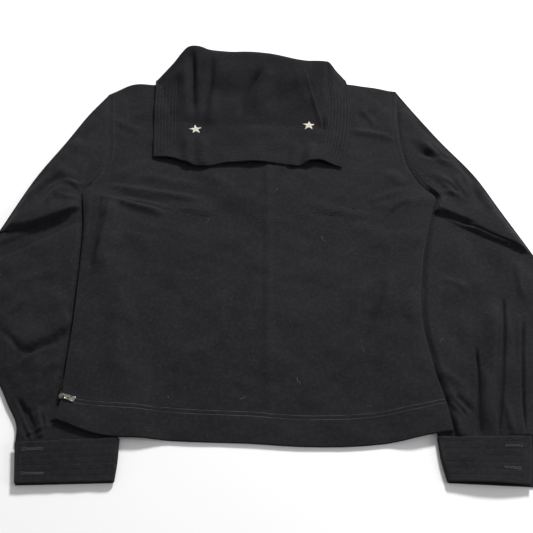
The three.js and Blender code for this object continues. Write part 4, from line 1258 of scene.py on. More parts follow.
# %% [markdown]
# Sewing
#
# A stitch is a short lens of thread that sinks into the cloth at both ends. Several thousand of
# them show here, all alike, so one node tree makes them: it takes lines that lie on the cloth,
# spaces points evenly on them, and sets a stitch on each. The lines are drawn in plan and dropped
# onto the cloth below by casting rays, so a row follows every fold that it crosses.

# %% Lines dropped onto a piece
from mathutils import Vector
from mathutils.bvhtree import BVHTree


def surface_of(piece):
    return BVHTree.FromObject(piece, bpy.context.evaluated_depsgraph_get())


def laid_on(surface, line, lift=0.0, step=1.2):
    """Points along a plan line, in mm, at the height of the surface below it."""
    line = np.asarray(line, dtype=float)
    reach = np.concatenate([[0], np.cumsum(np.linalg.norm(np.diff(line, axis=0), axis=1))])
    places = np.linspace(0, reach[-1], max(2, int(reach[-1] / step)))
    found = []
    for x, y in zip(np.interp(places, reach, line[:, 0]), np.interp(places, reach, line[:, 1])):
        hit = surface.ray_cast(Vector((x * MM, y * MM, 0.2)), Vector((0, 0, -1)))[0]
        if hit is not None:
            found.append((x, y, hit.z / MM + lift))
    return np.array(found)


def lines_object(lines):
    points = np.concatenate(lines)
    edges, start = [], 0
    for line in lines:
        edges += [(i, i + 1) for i in range(start, start + len(line) - 1)]
        start += len(line)
    mesh = bpy.data.meshes.new("lines")
    mesh.from_pydata((points * MM).tolist(), edges, [])
    return add_object("lines", mesh)


# %% Node trees that make stitches, hairs and teeth
def random_number(tree, low, high, seed):
    inputs = {2: low, 3: high, "Seed": seed}
    return add_node(tree, "FunctionNodeRandomValue", inputs, data_type="FLOAT").outputs[1]


def finish_tree(tree, instances, material, wanted):
    real = add_node(tree, "GeometryNodeRealizeInstances", {"Geometry": instances})
    soft = add_node(tree, "GeometryNodeSetShadeSmooth", {"Geometry": real.outputs[0]})
    done = add_node(tree, "GeometryNodeSetMaterial", {"Geometry": soft.outputs[0], "Material": material})
    tree.links.new(done.outputs[0], wanted[0])


def row_tree(name, shape):
    """Sets a shape at even places along lines. Its length runs along the line, or across it."""
    tree, given, wanted = new_group(name, "GeometryNodeTree", (
        ("Lines", "NodeSocketGeometry", None), ("Pitch", "NodeSocketFloat", 0.0026),
        ("Length", "NodeSocketFloat", 0.0021), ("Width", "NodeSocketFloat", 0.0005),
        ("Across", "NodeSocketFloat", 0.0), ("Seed", "NodeSocketInt", 1),
        ("Material", "NodeSocketMaterial", None)), (("Stitches", "NodeSocketGeometry"),))
    curve = add_node(tree, "GeometryNodeMeshToCurve", {"Mesh": given["Lines"]})
    even = add_node(tree, "GeometryNodeResampleCurve", {"Curve": curve.outputs[0],
                    "Length": given["Pitch"]}, mode="LENGTH")
    along = add_node(tree, "GeometryNodeInputTangent").outputs[0]
    side = add_node(tree, "ShaderNodeVectorMath", {0: along, 1: (0, 0, 1)}, operation="CROSS_PRODUCT")
    way = add_node(tree, "ShaderNodeMix", {0: given["Across"], 4: along, 5: side.outputs[0]},
                   data_type="VECTOR")
    turn = add_node(tree, "FunctionNodeAlignRotationToVector", {"Vector": way.outputs[1]}, axis="Z")
    uneven = random_number(tree, 0.82, 1.12, given["Seed"])
    length = calculate(tree, "MULTIPLY", given["Length"], uneven)
    size = add_node(tree, "ShaderNodeCombineXYZ", {0: given["Width"], 1: given["Width"], 2: length})
    placed = add_node(tree, "GeometryNodeInstanceOnPoints", {"Points": even.outputs[0],
                      "Instance": shape(tree), "Rotation": turn.outputs[0], "Scale": size.outputs[0]})
    finish_tree(tree, placed.outputs[0], given["Material"], wanted)
    return tree


def scatter_tree(name, shape):
    """Strews a shape over the upward faces of a cloth."""
    tree, given, wanted = new_group(name, "GeometryNodeTree", (
        ("Cloth", "NodeSocketGeometry", None), ("Density", "NodeSocketFloat", 500.0),
        ("Smallest", "NodeSocketFloat", 0.4), ("Largest", "NodeSocketFloat", 1.0),
        ("Seed", "NodeSocketInt", 1), ("Material", "NodeSocketMaterial", None)),
        (("Strewn", "NodeSocketGeometry"),))
    normal = add_node(tree, "GeometryNodeInputNormal").outputs[0]
    rise = add_node(tree, "ShaderNodeSeparateXYZ", {0: normal}).outputs[2]
    upward = add_node(tree, "FunctionNodeCompare", {0: rise, 1: 0.45}, operation="GREATER_THAN")
    spots = add_node(tree, "GeometryNodeDistributePointsOnFaces", {"Mesh": given["Cloth"],
                     "Selection": upward.outputs[0], "Density": given["Density"], "Seed": given["Seed"]})
    angle = add_node(tree, "ShaderNodeCombineXYZ", {2: random_number(tree, 0.0, 6.28, 7)})
    spin = add_node(tree, "FunctionNodeEulerToRotation", {0: angle.outputs[0]})
    turned = add_node(tree, "FunctionNodeRotateRotation", {0: spots.outputs["Rotation"],
                      1: spin.outputs[0]}, rotation_space="LOCAL")
    size = random_number(tree, given["Smallest"], given["Largest"], 0)
    bent = calculate(tree, "MULTIPLY", size, random_number(tree, -1.0, 1.0, 9))
    scale = add_node(tree, "ShaderNodeCombineXYZ", {0: size, 1: bent, 2: 1.0})
    placed = add_node(tree, "GeometryNodeInstanceOnPoints", {"Points": spots.outputs["Points"],
                      "Instance": shape(tree), "Rotation": turned.outputs[0], "Scale": scale.outputs[0]})
    finish_tree(tree, placed.outputs[0], given["Material"], wanted)
    return tree


def lens_shape(tree):
    lens = add_node(tree, "GeometryNodeMeshUVSphere", {"Segments": 6, "Rings": 4, "Radius": 0.5})
    return lens.outputs["Mesh"]


def tooth_shape(tree):
    return add_node(tree, "GeometryNodeMeshCube", {"Size": (1.0, 1.0, 1.0)}).outputs["Mesh"]


def speck_shape(tree):
    ball = add_node(tree, "GeometryNodeMeshIcoSphere", {"Radius": 0.0004, "Subdivisions": 1})
    return ball.outputs["Mesh"]


def hair_shape(tree):
    line = add_node(tree, "GeometryNodeCurveQuadraticBezier", {"Resolution": 7, "Start": (-0.004, 0, 0.0001),
                    "Middle": (0.001, 0.004, 0.0005), "End": (0.004, 0, 0.0001)})
    ring = add_node(tree, "GeometryNodeCurvePrimitiveCircle", {"Resolution": 4, "Radius": 0.00011})
    tube = add_node(tree, "GeometryNodeCurveToMesh", {0: line.outputs[0], 1: ring.outputs[0]})
    return tube.outputs[0]


def grown(name, tree, source, material, **values):
    """Runs a tree on a source object once and keeps its result as a plain mesh object."""
    values["Material"] = material
    modifier = source.modifiers.new("grow", "NODES")
    modifier.node_group = tree
    for item in tree.interface.items_tree:
        if item.item_type == "SOCKET" and item.in_out == "INPUT" and item.name in values:
            modifier[item.identifier] = values[item.name]
    depsgraph = bpy.context.evaluated_depsgraph_get()
    mesh = bpy.data.meshes.new_from_object(source.evaluated_get(depsgraph), depsgraph=depsgraph)
    source.modifiers.remove(modifier)
    if source.name.startswith("lines"):
        bpy.data.objects.remove(source)
    mesh.name = name
    mesh.materials.clear()
    mesh.materials.append(material)
    mesh.polygons.foreach_set("material_index", np.zeros(len(mesh.polygons), dtype=np.int32))
    return add_object(name, mesh)


STITCHES = row_tree("sewn_stitches", lens_shape)
TEETH = row_tree("zip_teeth", tooth_shape)
SPECKS = scatter_tree("strewn_specks", speck_shape)
HAIRS = scatter_tree("strewn_hairs", hair_shape)


# %% Thread
def fibre_group():
    """Uneven dye and grime for threads. Takes a colour and gives one, with a roughness."""
    tree, given, wanted = new_group("uneven_fibre", "ShaderNodeTree", (
        ("Dye", "NodeSocketColor", (0.1, 0.1, 0.1, 1)), ("Grime", "NodeSocketFloat", 0.3)),
        (("Color", "NodeSocketColor"), ("Roughness", "NodeSocketFloat")))
    place = add_node(tree, "ShaderNodeTexCoord").outputs["Object"]
    fine = noise(tree, place, 1600.0, 2.0)
    grime = to_range(tree, noise(tree, place, 45.0, 3.0), 0.4, 0.7)
    amount = calculate(tree, "MULTIPLY", grime, given["Grime"])
    tone = to_range(tree, fine, 0.3, 0.7, 0.7, 1.25)
    shade = add_node(tree, "ShaderNodeCombineXYZ", {0: tone, 1: tone, 2: tone})
    color = blend_colors(tree, 1.0, given["Dye"], shade.outputs[0], "MULTIPLY")
    color = blend_colors(tree, amount, color, (0.010, 0.010, 0.012, 1))
    tree.links.new(color, wanted["Color"])
    tree.links.new(to_range(tree, fine, 0.3, 0.7, 0.5, 0.8), wanted["Roughness"])
    return tree


FIBRE = fibre_group()


def thread(name, dye, grime, sheen=0.1):
    material, tree, shader = new_material(name)
    fibre = add_node(tree, "ShaderNodeGroup", {"Dye": (*dye, 1), "Grime": grime}, node_tree=FIBRE)
    fill(tree, shader, {"Base Color": fibre.outputs["Color"], "Roughness": fibre.outputs["Roughness"],
         "Specular IOR Level": 0.3, "Sheen Weight": sheen})
    return material


NAVY_THREAD = thread("navy_thread", (0.0135, 0.0135, 0.0175), 0.5)
PALE_NAVY_THREAD = thread("rubbed_navy_thread", (0.050, 0.050, 0.055), 0.55)
OLIVE_THREAD = thread("olive_thread", (0.074, 0.071, 0.057), 0.8)
GIMP = thread("buttonhole_gimp", (0.045, 0.045, 0.051), 0.6)
STAR_THREAD = thread("star_thread", (0.80, 0.77, 0.66), 0.12, 0.2)
LINT = thread("pale_lint", (0.30, 0.29, 0.27), 0.5)
# A near-black colour that is painted shade, for the inside of the buttonhole slits.
SLIT_SHADE = thread("slit_shadow", (0.002, 0.002, 0.0025), 0.0)

# %% Rows on the body
BACK_TOP = surface_of(back)
RIGHT_TOP = surface_of(right_sleeve)


def armhole_line(side, inward, inset, low, high):
    y = np.linspace(high, low, 60)
    return np.stack([x_of(side, y) + inward * inset, y], axis=1)


def seam_line(seam, raise_by, start, stop):
    x = np.linspace(start, stop, 120)
    return np.stack([x, y_of(seam, x) + raise_by], axis=1)


ARMHOLE_ROWS = (2.2, 8.8)
YOKE_ROWS = (2.6, 8.4)
rows = [laid_on(BACK_TOP, armhole_line(LEFT_SIDE, 1, inset, 96, 283)) for inset in ARMHOLE_ROWS]
rows += [laid_on(BACK_TOP, armhole_line(RIGHT_SIDE, -1, inset, 96, 288)) for inset in ARMHOLE_ROWS]
rows += [laid_on(BACK_TOP, seam_line(YOKE_SEAM, lift, -244, 240)) for lift in YOKE_ROWS]
rows += [laid_on(BACK_TOP, seam_line(SHOULDERS, -3.5, *ends)) for ends in ((-234, -100), (100, 210))]
body_stitches = grown("body_stitches", STITCHES, lines_object(rows), NAVY_THREAD, Pitch=0.0027,
                      Length=0.0022, Width=0.00055, Seed=3)

PIT_SEAM = np.array([[221, 122], [229, 113], [240, 101], [251, 88], [257, 76], [259, 62]])
rows = [laid_on(RIGHT_TOP, PIT_SEAM + shift, 0.05) for shift in ([0, 0], [3.0, 2.6], [6.4, 5.0])]
pit_stitches = grown("pit_stitches", STITCHES, lines_object(rows), PALE_NAVY_THREAD, Pitch=0.0026,
                     Length=0.0022, Width=0.0007, Seed=4)

rows = [laid_on(BACK_TOP, seam_line(HEM_SEAM, row, -238, 228), 0.05) for row in HEM_ROWS]
hem_stitches = grown("hem_stitches", STITCHES, lines_object(rows), OLIVE_THREAD, Pitch=0.0024,
                     Length=0.0022, Width=0.00115, Seed=5)

# %% Rows on the collar
COLLAR_TOP = surface_of(collar)


def collar_row(inset):
    """A line at one distance inside the back flap's three edges, with mitred corners."""
    corner_steps = [5.3, *CORNERS, 21.7]
    sides = []
    for low, high in zip(corner_steps[:-1], corner_steps[1:]):
        edge = edge_point(np.linspace(low + 0.02, high - 0.02, 60))
        way = np.gradient(edge, axis=0)
        way = way / np.linalg.norm(way, axis=1, keepdims=True)
        sides.append(edge + np.stack([-way[:, 1], way[:, 0]], axis=1) * inset)
    left, low, right = sides
    left = left[left[:, 1] > np.interp(left[:, 0], low[:, 0], low[:, 1])]
    right = right[right[:, 1] > np.interp(right[:, 0], low[:, 0], low[:, 1])]
    left_x = np.interp(low[:, 1], left[::-1, 1], left[::-1, 0])
    right_x = np.interp(low[:, 1], right[:, 1], right[:, 0])
    low = low[(low[:, 0] > left_x) & (low[:, 0] < right_x)]
    return np.concatenate([left, low, right])


rows = [laid_on(COLLAR_TOP, collar_row(inset)) for inset in STITCH_ROWS]
collar_stitches = grown("collar_stitches", STITCHES, lines_object(rows), NAVY_THREAD, Pitch=0.0026,
                        Length=0.0021, Width=0.00055, Seed=6)

# %% Rows on the cuffs
CUFF_TOPS = {"left": surface_of(left_cuff), "right": surface_of(right_cuff)}


def cuff_line(rows, inset_end, inset_side, inset_fold=6.0):
    """A line round the upper layer of a cuff, inset from its mouth, its edge and its top."""
    def corner(down, from_edge):
        k = down * 2
        start = np.array([read(rows, "step", k, "inX"), read(rows, "step", k, "inY")])
        stop = np.array([read(rows, "step", k, "outX"), read(rows, "step", k, "outY")])
        length = np.linalg.norm(stop - start)
        return mix(start, stop, from_edge / length if from_edge >= 0 else 1 + from_edge / length)

    top, bottom = inset_end / CUFF_DEPTH, 1 - inset_end / CUFF_DEPTH
    return np.array([corner(top, inset_fold), corner(top, -inset_side), corner(0.5, -inset_side),
                     corner(bottom, -inset_side), corner(bottom, inset_fold)])


CUFF_INSETS = (2.4, 7.6)
rows = [laid_on(CUFF_TOPS[side], cuff_line(cuff, inset, inset))
        for side, cuff in (("left", LEFT_CUFF), ("right", RIGHT_CUFF)) for inset in CUFF_INSETS]
cuff_stitches = grown("cuff_stitches", STITCHES, lines_object(rows), NAVY_THREAD, Pitch=0.0026,
                      Length=0.0021, Width=0.00055, Seed=7)

# %% [markdown]
# Buttonholes
#
# Each is a keyhole: a slit with a round eye at the end that the button's shank pulls into. Its
# edge is bound with purl stitches set side by side across it, over a gimp cord. The same stitch
# tree makes them, with the stitches turned across the line.

# %% Buttonholes
HOLES = {"left": (((-275.7, -321.3), (-253.4, -320.6)), ((-273.3, -352.3), (-248.6, -352.0))),
         "right": (((310.6, -316.7), (292.5, -316.9)), ((303.8, -346.4), (287.1, -344.4)))}
EYE_RADIUS, LIP = 1.9, 0.95


def keyhole(eye, tail, outset):
    """The outline of a keyhole in plan, open at its tail."""
    eye, tail = np.array(eye), np.array(tail)
    way = (tail - eye) / np.linalg.norm(tail - eye)
    side = np.array([-way[1], way[0]])
    radius = EYE_RADIUS + outset - LIP
    first = math.asin(min(0.95, outset / radius))
    angles = np.linspace(first, 2 * math.pi - first, 22)
    loop = eye + radius * (np.cos(angles)[:, None] * way + np.sin(angles)[:, None] * side)
    return np.concatenate([[tail + outset * side], loop, [tail - outset * side], [tail + outset * side]])


rows, gaps = [], []
for name, pairs in HOLES.items():
    for eye, tail in pairs:
        rows.append(laid_on(CUFF_TOPS[name], keyhole(eye, tail, LIP), 0.15, 0.4))
        gaps.append(laid_on(CUFF_TOPS[name], [eye, tail], 0.12, 0.8))
buttonholes = grown("buttonholes", STITCHES, lines_object(rows), GIMP, Pitch=0.00052,
                    Length=0.0014, Width=0.0006, Across=1.0, Seed=8)


SLIT = {"half": 0.32, "eye": 0.95, "raise": 0.02, "sides": 16}


def slit_mesh(lines):
    """Thin strips with a round end, painted near-black as the shade inside the open slit between the lips.
    """
    points, faces = [], []
    for line in lines:
        way = line[-1] - line[0]
        way = way / np.linalg.norm(way)
        side = np.cross([0, 0, 1.0], way)
        first = len(points)
        for place in line:
            points += [place + side * SLIT["half"], place - side * SLIT["half"]]
        for i in range(first, len(points) - 2, 2):
            faces.append((i, i + 1, i + 3, i + 2))
        first = len(points)
        points += [line[0] + SLIT["eye"] * (math.cos(a) * way + math.sin(a) * side) + [0, 0, SLIT["raise"]]
                   for a in np.linspace(0, 2 * math.pi, SLIT["sides"], endpoint=False)]
        faces.append(tuple(range(first, first + SLIT["sides"])))
    return new_object("buttonhole_slits", points, faces, SLIT_SHADE, smooth=False)


slits = slit_mesh(gaps)

# %% [markdown]
# Stars
#
# The stars are worked in satin stitch: threads laid close together across each point of the
# star, over padding that lifts the middle. The threads are real tubes, because at this size the
# light on each one is what tells thread from print.

# %% Stars
STAR = {"tip": 9.8, "notch": 4.1, "rise": 0.75, "pitch": 0.4, "thread": 0.27, "first": 0.35, "last": 0.2}
STARS = {"star_left_sewn": (-97, 205, 8), "star_right_sewn": (74, 212, -4)}
TUBE_SIDES = 5
SHAKE = 0.05


def ring_faces(rings, count, first=0):
    """Quads between rings of points, with a face that closes each end."""
    faces = [tuple(first + j for j in reversed(range(count)))]
    for i in range(first, first + (rings - 1) * count, count):
        for j in range(count):
            k = (j + 1) % count
            faces.append((i + j, i + k, i + count + k, i + count + j))
    last = first + (rings - 1) * count
    return faces + [tuple(last + j for j in range(count))]


def circle(count):
    angles = np.linspace(0, 2 * math.pi, count, endpoint=False)
    return np.cos(angles)[:, None], np.sin(angles)[:, None]


def tube(points, radius, first):
    """Points and faces of a thin tube along a line that runs roughly level."""
    way = np.gradient(points, axis=0)
    side = np.cross(way / np.linalg.norm(way, axis=1, keepdims=True), [0, 0, 1.0])
    side = side / np.linalg.norm(side, axis=1, keepdims=True)
    up = np.cross(side, way / np.linalg.norm(way, axis=1, keepdims=True))
    cosine, sine = circle(TUBE_SIDES)
    rings = points[:, None] + radius * (cosine * side[:, None] + sine * up[:, None])
    return rings.reshape(-1, 3), ring_faces(len(points), TUBE_SIDES, first)


def faced_out(obj):
    fix = bmesh.new()
    fix.from_mesh(obj.data)
    bmesh.ops.recalc_face_normals(fix, faces=fix.faces)
    fix.to_mesh(obj.data)
    fix.free()
    return obj


def sew_star(name, x, y, lean, seed):
    draw = np.random.default_rng(seed)
    level = laid_on(COLLAR_TOP, [(x - 1, y), (x + 1, y)], 0.0, 1.0)[:, 2].max()
    points, faces = np.zeros((0, 3)), []
    wide = STAR["notch"] * math.cos(math.radians(36))
    half_wide = STAR["notch"] * math.sin(math.radians(36))
    t = np.linspace(-1, 1, 6)
    for arm in range(5):
        angle = math.pi / 2 + arm * math.pi * 0.4 + math.radians(lean)
        way = np.array([math.cos(angle), math.sin(angle)])
        side = np.array([-way[1], way[0]])
        for place in np.arange(STAR["first"], STAR["tip"] - STAR["last"], STAR["pitch"]):
            narrowing = place / wide if place < wide else (STAR["tip"] - place) / (STAR["tip"] - wide)
            half = half_wide * narrowing + draw.uniform(-0.08, 0.1)
            plan = np.array([x, y]) + way * (place + draw.uniform(-SHAKE, SHAKE)) + t[:, None] * half * side
            dome = STAR["rise"] * np.sqrt(1 - t ** 2) * min(1.0, half / 1.2)
            line = np.concatenate([plan, (level - 0.1 + dome)[:, None]], axis=1)
            more, new_faces = tube(line, STAR["thread"] * draw.uniform(0.9, 1.1), len(points))
            points = np.concatenate([points, more])
            faces += new_faces
    return faced_out(new_object(name, points, faces, STAR_THREAD))


stars = [sew_star(name, *place, 40 + i) for i, (name, place) in enumerate(STARS.items())]

# %% [markdown]
# The side zip
#
# A short zip opens the left side seam above the hem. Only its lower end shows, where the front's
# edge looks out past the back's. The tape is cotton and the teeth are stamped metal, set along two
# lines half a pitch apart. The slider and its pull tab are old nickel silver, worn bright on the
# raised parts and dull in the hollows. The pull tab is its own piece, because it swings.

# %% Worn metal
def patina_group():
    tree, given, wanted = new_group("worn_metal", "ShaderNodeTree", (
        ("Bright", "NodeSocketColor", (0.4, 0.39, 0.35, 1)),
        ("Dull", "NodeSocketColor", (0.05, 0.05, 0.04, 1)), ("Wear", "NodeSocketFloat", 0.5)),
        (("Color", "NodeSocketColor"), ("Roughness", "NodeSocketFloat"), ("Height", "NodeSocketFloat")))
    place = add_node(tree, "ShaderNodeTexCoord").outputs["Object"]
    spots = noise(tree, place, 420.0, 4.0, 0.6)
    scratch = noise(tree, place, 1500.0, 2.0, 0.7)
    mask = calculate(tree, "ADD", to_range(tree, spots, 0.38, 0.64), given["Wear"])
    mask = calculate(tree, "SUBTRACT", mask, 0.5, clamped=True)
    tree.links.new(blend_colors(tree, mask, given["Dull"], given["Bright"]), wanted["Color"])
    tree.links.new(to_range(tree, mask, 0.0, 1.0, 0.62, 0.3), wanted["Roughness"])
    tree.links.new(calculate(tree, "ADD", spots, scratch), wanted["Height"])
    return tree


PATINA = patina_group()


def worn_metal(name, bright, dull, wear_share, metallic=0.85):
    material, tree, shader = new_material(name)
    worn = add_node(tree, "ShaderNodeGroup", {"Bright": (*bright, 1), "Dull": (*dull, 1),
                    "Wear": wear_share}, node_tree=PATINA)
    relief = add_node(tree, "ShaderNodeBump", {"Strength": 0.3, "Distance": 0.0001,
                      "Height": worn.outputs["Height"]})
    fill(tree, shader, {"Base Color": worn.outputs["Color"], "Roughness": worn.outputs["Roughness"],
         "Normal": relief.outputs[0], "Metallic": metallic})
    return material


SILVER = worn_metal("old_nickel_silver", (0.34, 0.33, 0.29), (0.06, 0.06, 0.045), 0.55)
TOOTH_METAL = worn_metal("tooth_metal", (0.05, 0.05, 0.045), (0.012, 0.012, 0.011), 0.4)
TAPE = wool("zip_tape_cotton", (0.006, 0.006, 0.007), (0.016, 0.016, 0.018), 0.4, 0.02, 0.3)

# %% Tape and teeth
ZIP_INSET = 1.2
TOOTH = {"pitch": 2.0, "apart": 0.75, "inset": 2.3, "height": 0.9, "sunk": 0.1, "first": 8, "last": 4}


def zip_edge(y):
    return x_of(LEFT_SIDE, y) - front_peek(y) + ZIP_INSET


def make_tape():
    y = np.linspace(ZIP["bottom"], ZIP["top"], 110)[:, None]
    across = spaced(ZIP["width"], 8, [0.0, 0.1, 0.3, 0.6])[None, :]
    x = zip_edge(y) + across
    y = y + 0 * x
    z = front_top(x, y) + ZIP["gap"] + ZIP["tape"] / 2
    middle = np.stack([x, y, z], axis=2)
    return shell("zip_tape", middle, rim_distance(x, y), ZIP["tape"] / 2, TAPE)


def tooth_line(aside, shift):
    y = np.linspace(ZIP["bottom"] + TOOTH["first"] + shift, ZIP["top"] - TOOTH["last"], 120)
    x = zip_edge(y) + TOOTH["inset"] + aside
    z = front_top(x, y) + ZIP["gap"] + ZIP["tape"] + TOOTH["height"] / 2 - TOOTH["sunk"]
    return np.stack([x, y, z], axis=1)


tape = make_tape()
lines = [tooth_line(-TOOTH["apart"], 0.0), tooth_line(TOOTH["apart"], TOOTH["pitch"] / 2)]
teeth = grown("zip_teeth", TEETH, lines_object(lines), TOOTH_METAL, Pitch=TOOTH["pitch"] * MM,
              Length=0.0021, Width=0.0009, Across=1.0, Seed=9)

# %% The slider and the pull tab
SLIDER = {"x": -238, "y": -252.5, "length": 9, "width": 8, "base": 1.4, "lip": 3.3}
BAR = {"radius": 0.55, "height": 1.7, "post": 1.2, "span": 5.4}
PULL = {"length": 17, "width": 7, "thickness": 1.0, "slot": 0.85, "wall": 0.5, "way": -18}
SEAT = float(back_top(SLIDER["x"], SLIDER["y"])) + ZIP["gap"]
BAR_LEVEL = SLIDER["base"] + BAR["height"]
PULL_PITCH = math.asin((BAR_LEVEL - PULL["thickness"] / 2 - ZIP["gap"]) / PULL["length"])
# A profile lists the levels of a part from bottom to top, each with how far its edge is drawn in
PLATE_PROFILE = [(0.0, 0.35), (0.12, 0.1), (0.35, 0.0), (1.0, 0.0), (1.25, 0.12), (SLIDER["base"], 0.45)]
HOOK_PROFILE = [(SLIDER["base"] - SLIDER["lip"], 0.1), (SLIDER["base"] - SLIDER["lip"] + 0.2, 0.0),
                (SLIDER["base"] - 0.2, 0.0)]
POST_PROFILE = [(SLIDER["base"] - 0.1, 0.0), (BAR_LEVEL + 0.2, 0.0), (BAR_LEVEL + 0.45, 0.12),
                (BAR_LEVEL + BAR["radius"], 0.35)]
THICK = PULL["thickness"] / 2
BLADE_PROFILE = [(-THICK, 0.3), (-THICK + 0.2, 0.0), (THICK - 0.2, 0.0), (THICK, 0.22),
                 (THICK, 0.75), (THICK - 0.22, 1.0), (THICK - 0.22, 1.6)]
STEM_PROFILE = [(-THICK, 0.1), (-THICK + 0.15, 0.0), (THICK - 0.15, 0.0), (THICK, 0.15)]
CORNER = {"plate": 2.0, "hook": 0.3, "post": 0.35, "blade": 1.3, "stem": 0.25}
HOOK = {"out": 0.3, "in": 0.9, "narrower": 1}


def stacked(outline, levels):
    """A closed solid of one outline drawn in by an inset at each level, from bottom to top."""
    low, high = outline.min(axis=0), outline.max(axis=0)
    centre, half = (low + high) / 2, (high - low) / 2
    points = []
    for level, inset in levels:
        plan = centre + (outline - centre) * (1 - inset / half)
        points.append(np.concatenate([plan, np.full((len(outline), 1), level)], axis=1))
    return np.concatenate(points), ring_faces(len(levels), len(outline))


def rounded(left, right, half_left, half_right, corner, steps=7):
    """A four-sided outline with round corners, wider or narrower at its right end."""
    found = []
    for x, y, first in ((right, -half_right, -90), (right, half_right, 0), (left, half_left, 90),
                        (left, -half_left, 180)):
        centre = np.array([x - math.copysign(corner, x - (left + right) / 2), y - math.copysign(corner, y)])
        for angle in np.radians(np.linspace(first, first + 90, steps)):
            found.append(centre + corner * np.array([math.cos(angle), math.sin(angle)]))
    return np.array(found)


def rod(start, stop, radius, sides=14, bevel=0.15):
    """A round bar with slightly narrowed ends."""
    start, stop = np.array(start, float), np.array(stop, float)
    way = (stop - start) / np.linalg.norm(stop - start)
    side = np.cross(way, [0.3, 0.2, 0.9])
    side = side / np.linalg.norm(side)
    cosine, sine = circle(sides)
    ring = (cosine * side + sine * np.cross(way, side)) * radius
    points = np.concatenate([start + ring * 0.8, start + way * bevel + ring, stop - way * bevel + ring,
                             stop + ring * 0.8])
    return points, ring_faces(4, sides)


def eye_ring(inner, outer, half, count=24, bevel=0.15):
    """A short sleeve round the Y axis."""
    profile = [(inner, -half), (outer - bevel, -half), (outer, -half + bevel), (outer, half - bevel),
               (outer - bevel, half), (inner, half)]
    points, faces, size = [], [], len(profile)
    for i in range(count):
        angle = 2 * math.pi * i / count
        points += [(r * math.cos(angle), y, r * math.sin(angle)) for r, y in profile]
        for j in range(size):
            k, n = (j + 1) % size, (i + 1) % count
            faces.append((i * size + j, i * size + k, n * size + k, n * size + j))
    return np.array(points), faces


def assembled(name, parts, pitch=0.0, lift=0.0):
    """Joins parts made at the slider's own place, pitches them about Y and sets them on the hem."""
    points = np.concatenate([part_points for part_points, _ in parts])
    faces, start = [], 0
    for part_points, part_faces in parts:
        faces += [tuple(start + c for c in face) for face in part_faces]
        start += len(part_points)
    tilt = np.array([[math.cos(pitch), 0, math.sin(pitch)], [0, 1, 0],
                     [-math.sin(pitch), 0, math.cos(pitch)]])
    turn = math.radians(PULL["way"])
    spin = np.array([[math.cos(turn), -math.sin(turn), 0], [math.sin(turn), math.cos(turn), 0], [0, 0, 1]])
    points = points @ tilt.T @ spin.T + [SLIDER["x"], SLIDER["y"], SEAT + lift]
    obj = faced_out(new_object(name, points, faces, SILVER))
    obj.data.set_sharp_from_angle(angle=math.radians(40))
    return obj


def make_slider():
    length, width, post = SLIDER["length"] / 2, SLIDER["width"] / 2, BAR["post"] / 2
    plate = stacked(rounded(-length, length, width, width - 0.8, CORNER["plate"]), PLATE_PROFILE)
    hook_width = width - HOOK["narrower"]
    hook = stacked(rounded(-length - HOOK["out"], -length + HOOK["in"], hook_width, hook_width,
                           CORNER["hook"], 3), HOOK_PROFILE)
    reach = (BAR["span"] - BAR["post"]) / 2
    posts = [stacked(rounded(-1.1, 1.1, post, post, CORNER["post"], 4) + [0, side * reach], POST_PROFILE)
             for side in (-1, 1)]
    bar_end = BAR["span"] / 2 - 0.1
    bar = rod((0, -bar_end, BAR_LEVEL), (0, bar_end, BAR_LEVEL), BAR["radius"])
    return assembled("zip_slider_worn", [plate, hook, *posts, bar])


def make_pull():
    hub = PULL["slot"] + PULL["wall"]
    neck = (BAR["span"] - 2 * BAR["post"]) / 2 - 0.4
    half = PULL["width"] / 2
    blade = stacked(rounded(hub + 1.0, PULL["length"] - 1, half - 0.4, half, CORNER["blade"]), BLADE_PROFILE)
    stem = stacked(rounded(hub - 0.25, hub + 2.2, neck, neck, CORNER["stem"], 3), STEM_PROFILE)
    eye = eye_ring(PULL["slot"], hub, neck)
    return assembled("zip_pull_worn", [blade, stem, eye], PULL_PITCH, BAR_LEVEL)


slider, pull = make_slider(), make_pull()

# %% [markdown]
# Buttons
#
# Two four-hole buttons close each cuff. They sit on the underlap, so the upper layer hides all but
# a rim. Each is turned, with a raised rim, a dished middle and four holes cut through, and is sewn
# on with crossed threads.

# %% Buttons
BUTTON = {"radius": 7.0, "height": 2.8, "dish": 0.9, "rim": 1.6, "hole": 0.8, "spread": 1.7}
BUTTONS = {"button_left_upper": (-272, -325), "button_left_lower": (-270, -351),
           "button_right_upper": (334, -319), "button_right_lower": (330, -350)}
BUTTON_LEVEL = CUFF_CLOTH + 0.3
HOLE_SIDES = 12
SEWING = {"thread": 0.16, "apart": 0.3, "sunk": 0.5, "rise": 0.75}
HORN = worn_metal("olive_horn", (0.050, 0.050, 0.034), (0.018, 0.018, 0.014), 0.6, metallic=0.0)


def lathe_points(profile, count=36):
    points, faces, size = [], [], len(profile)
    for i in range(count):
        angle = 2 * math.pi * i / count
        points += [(r * math.cos(angle), r * math.sin(angle), z) for r, z in profile]
    for i in range(count):
        n = (i + 1) % count
        faces += [(i * size + j, n * size + j, n * size + j + 1, i * size + j + 1) for j in range(size - 1)]
    faces.append(tuple(i * size for i in reversed(range(count))))
    faces.append(tuple(i * size + size - 1 for i in range(count)))
    return np.array(points), faces


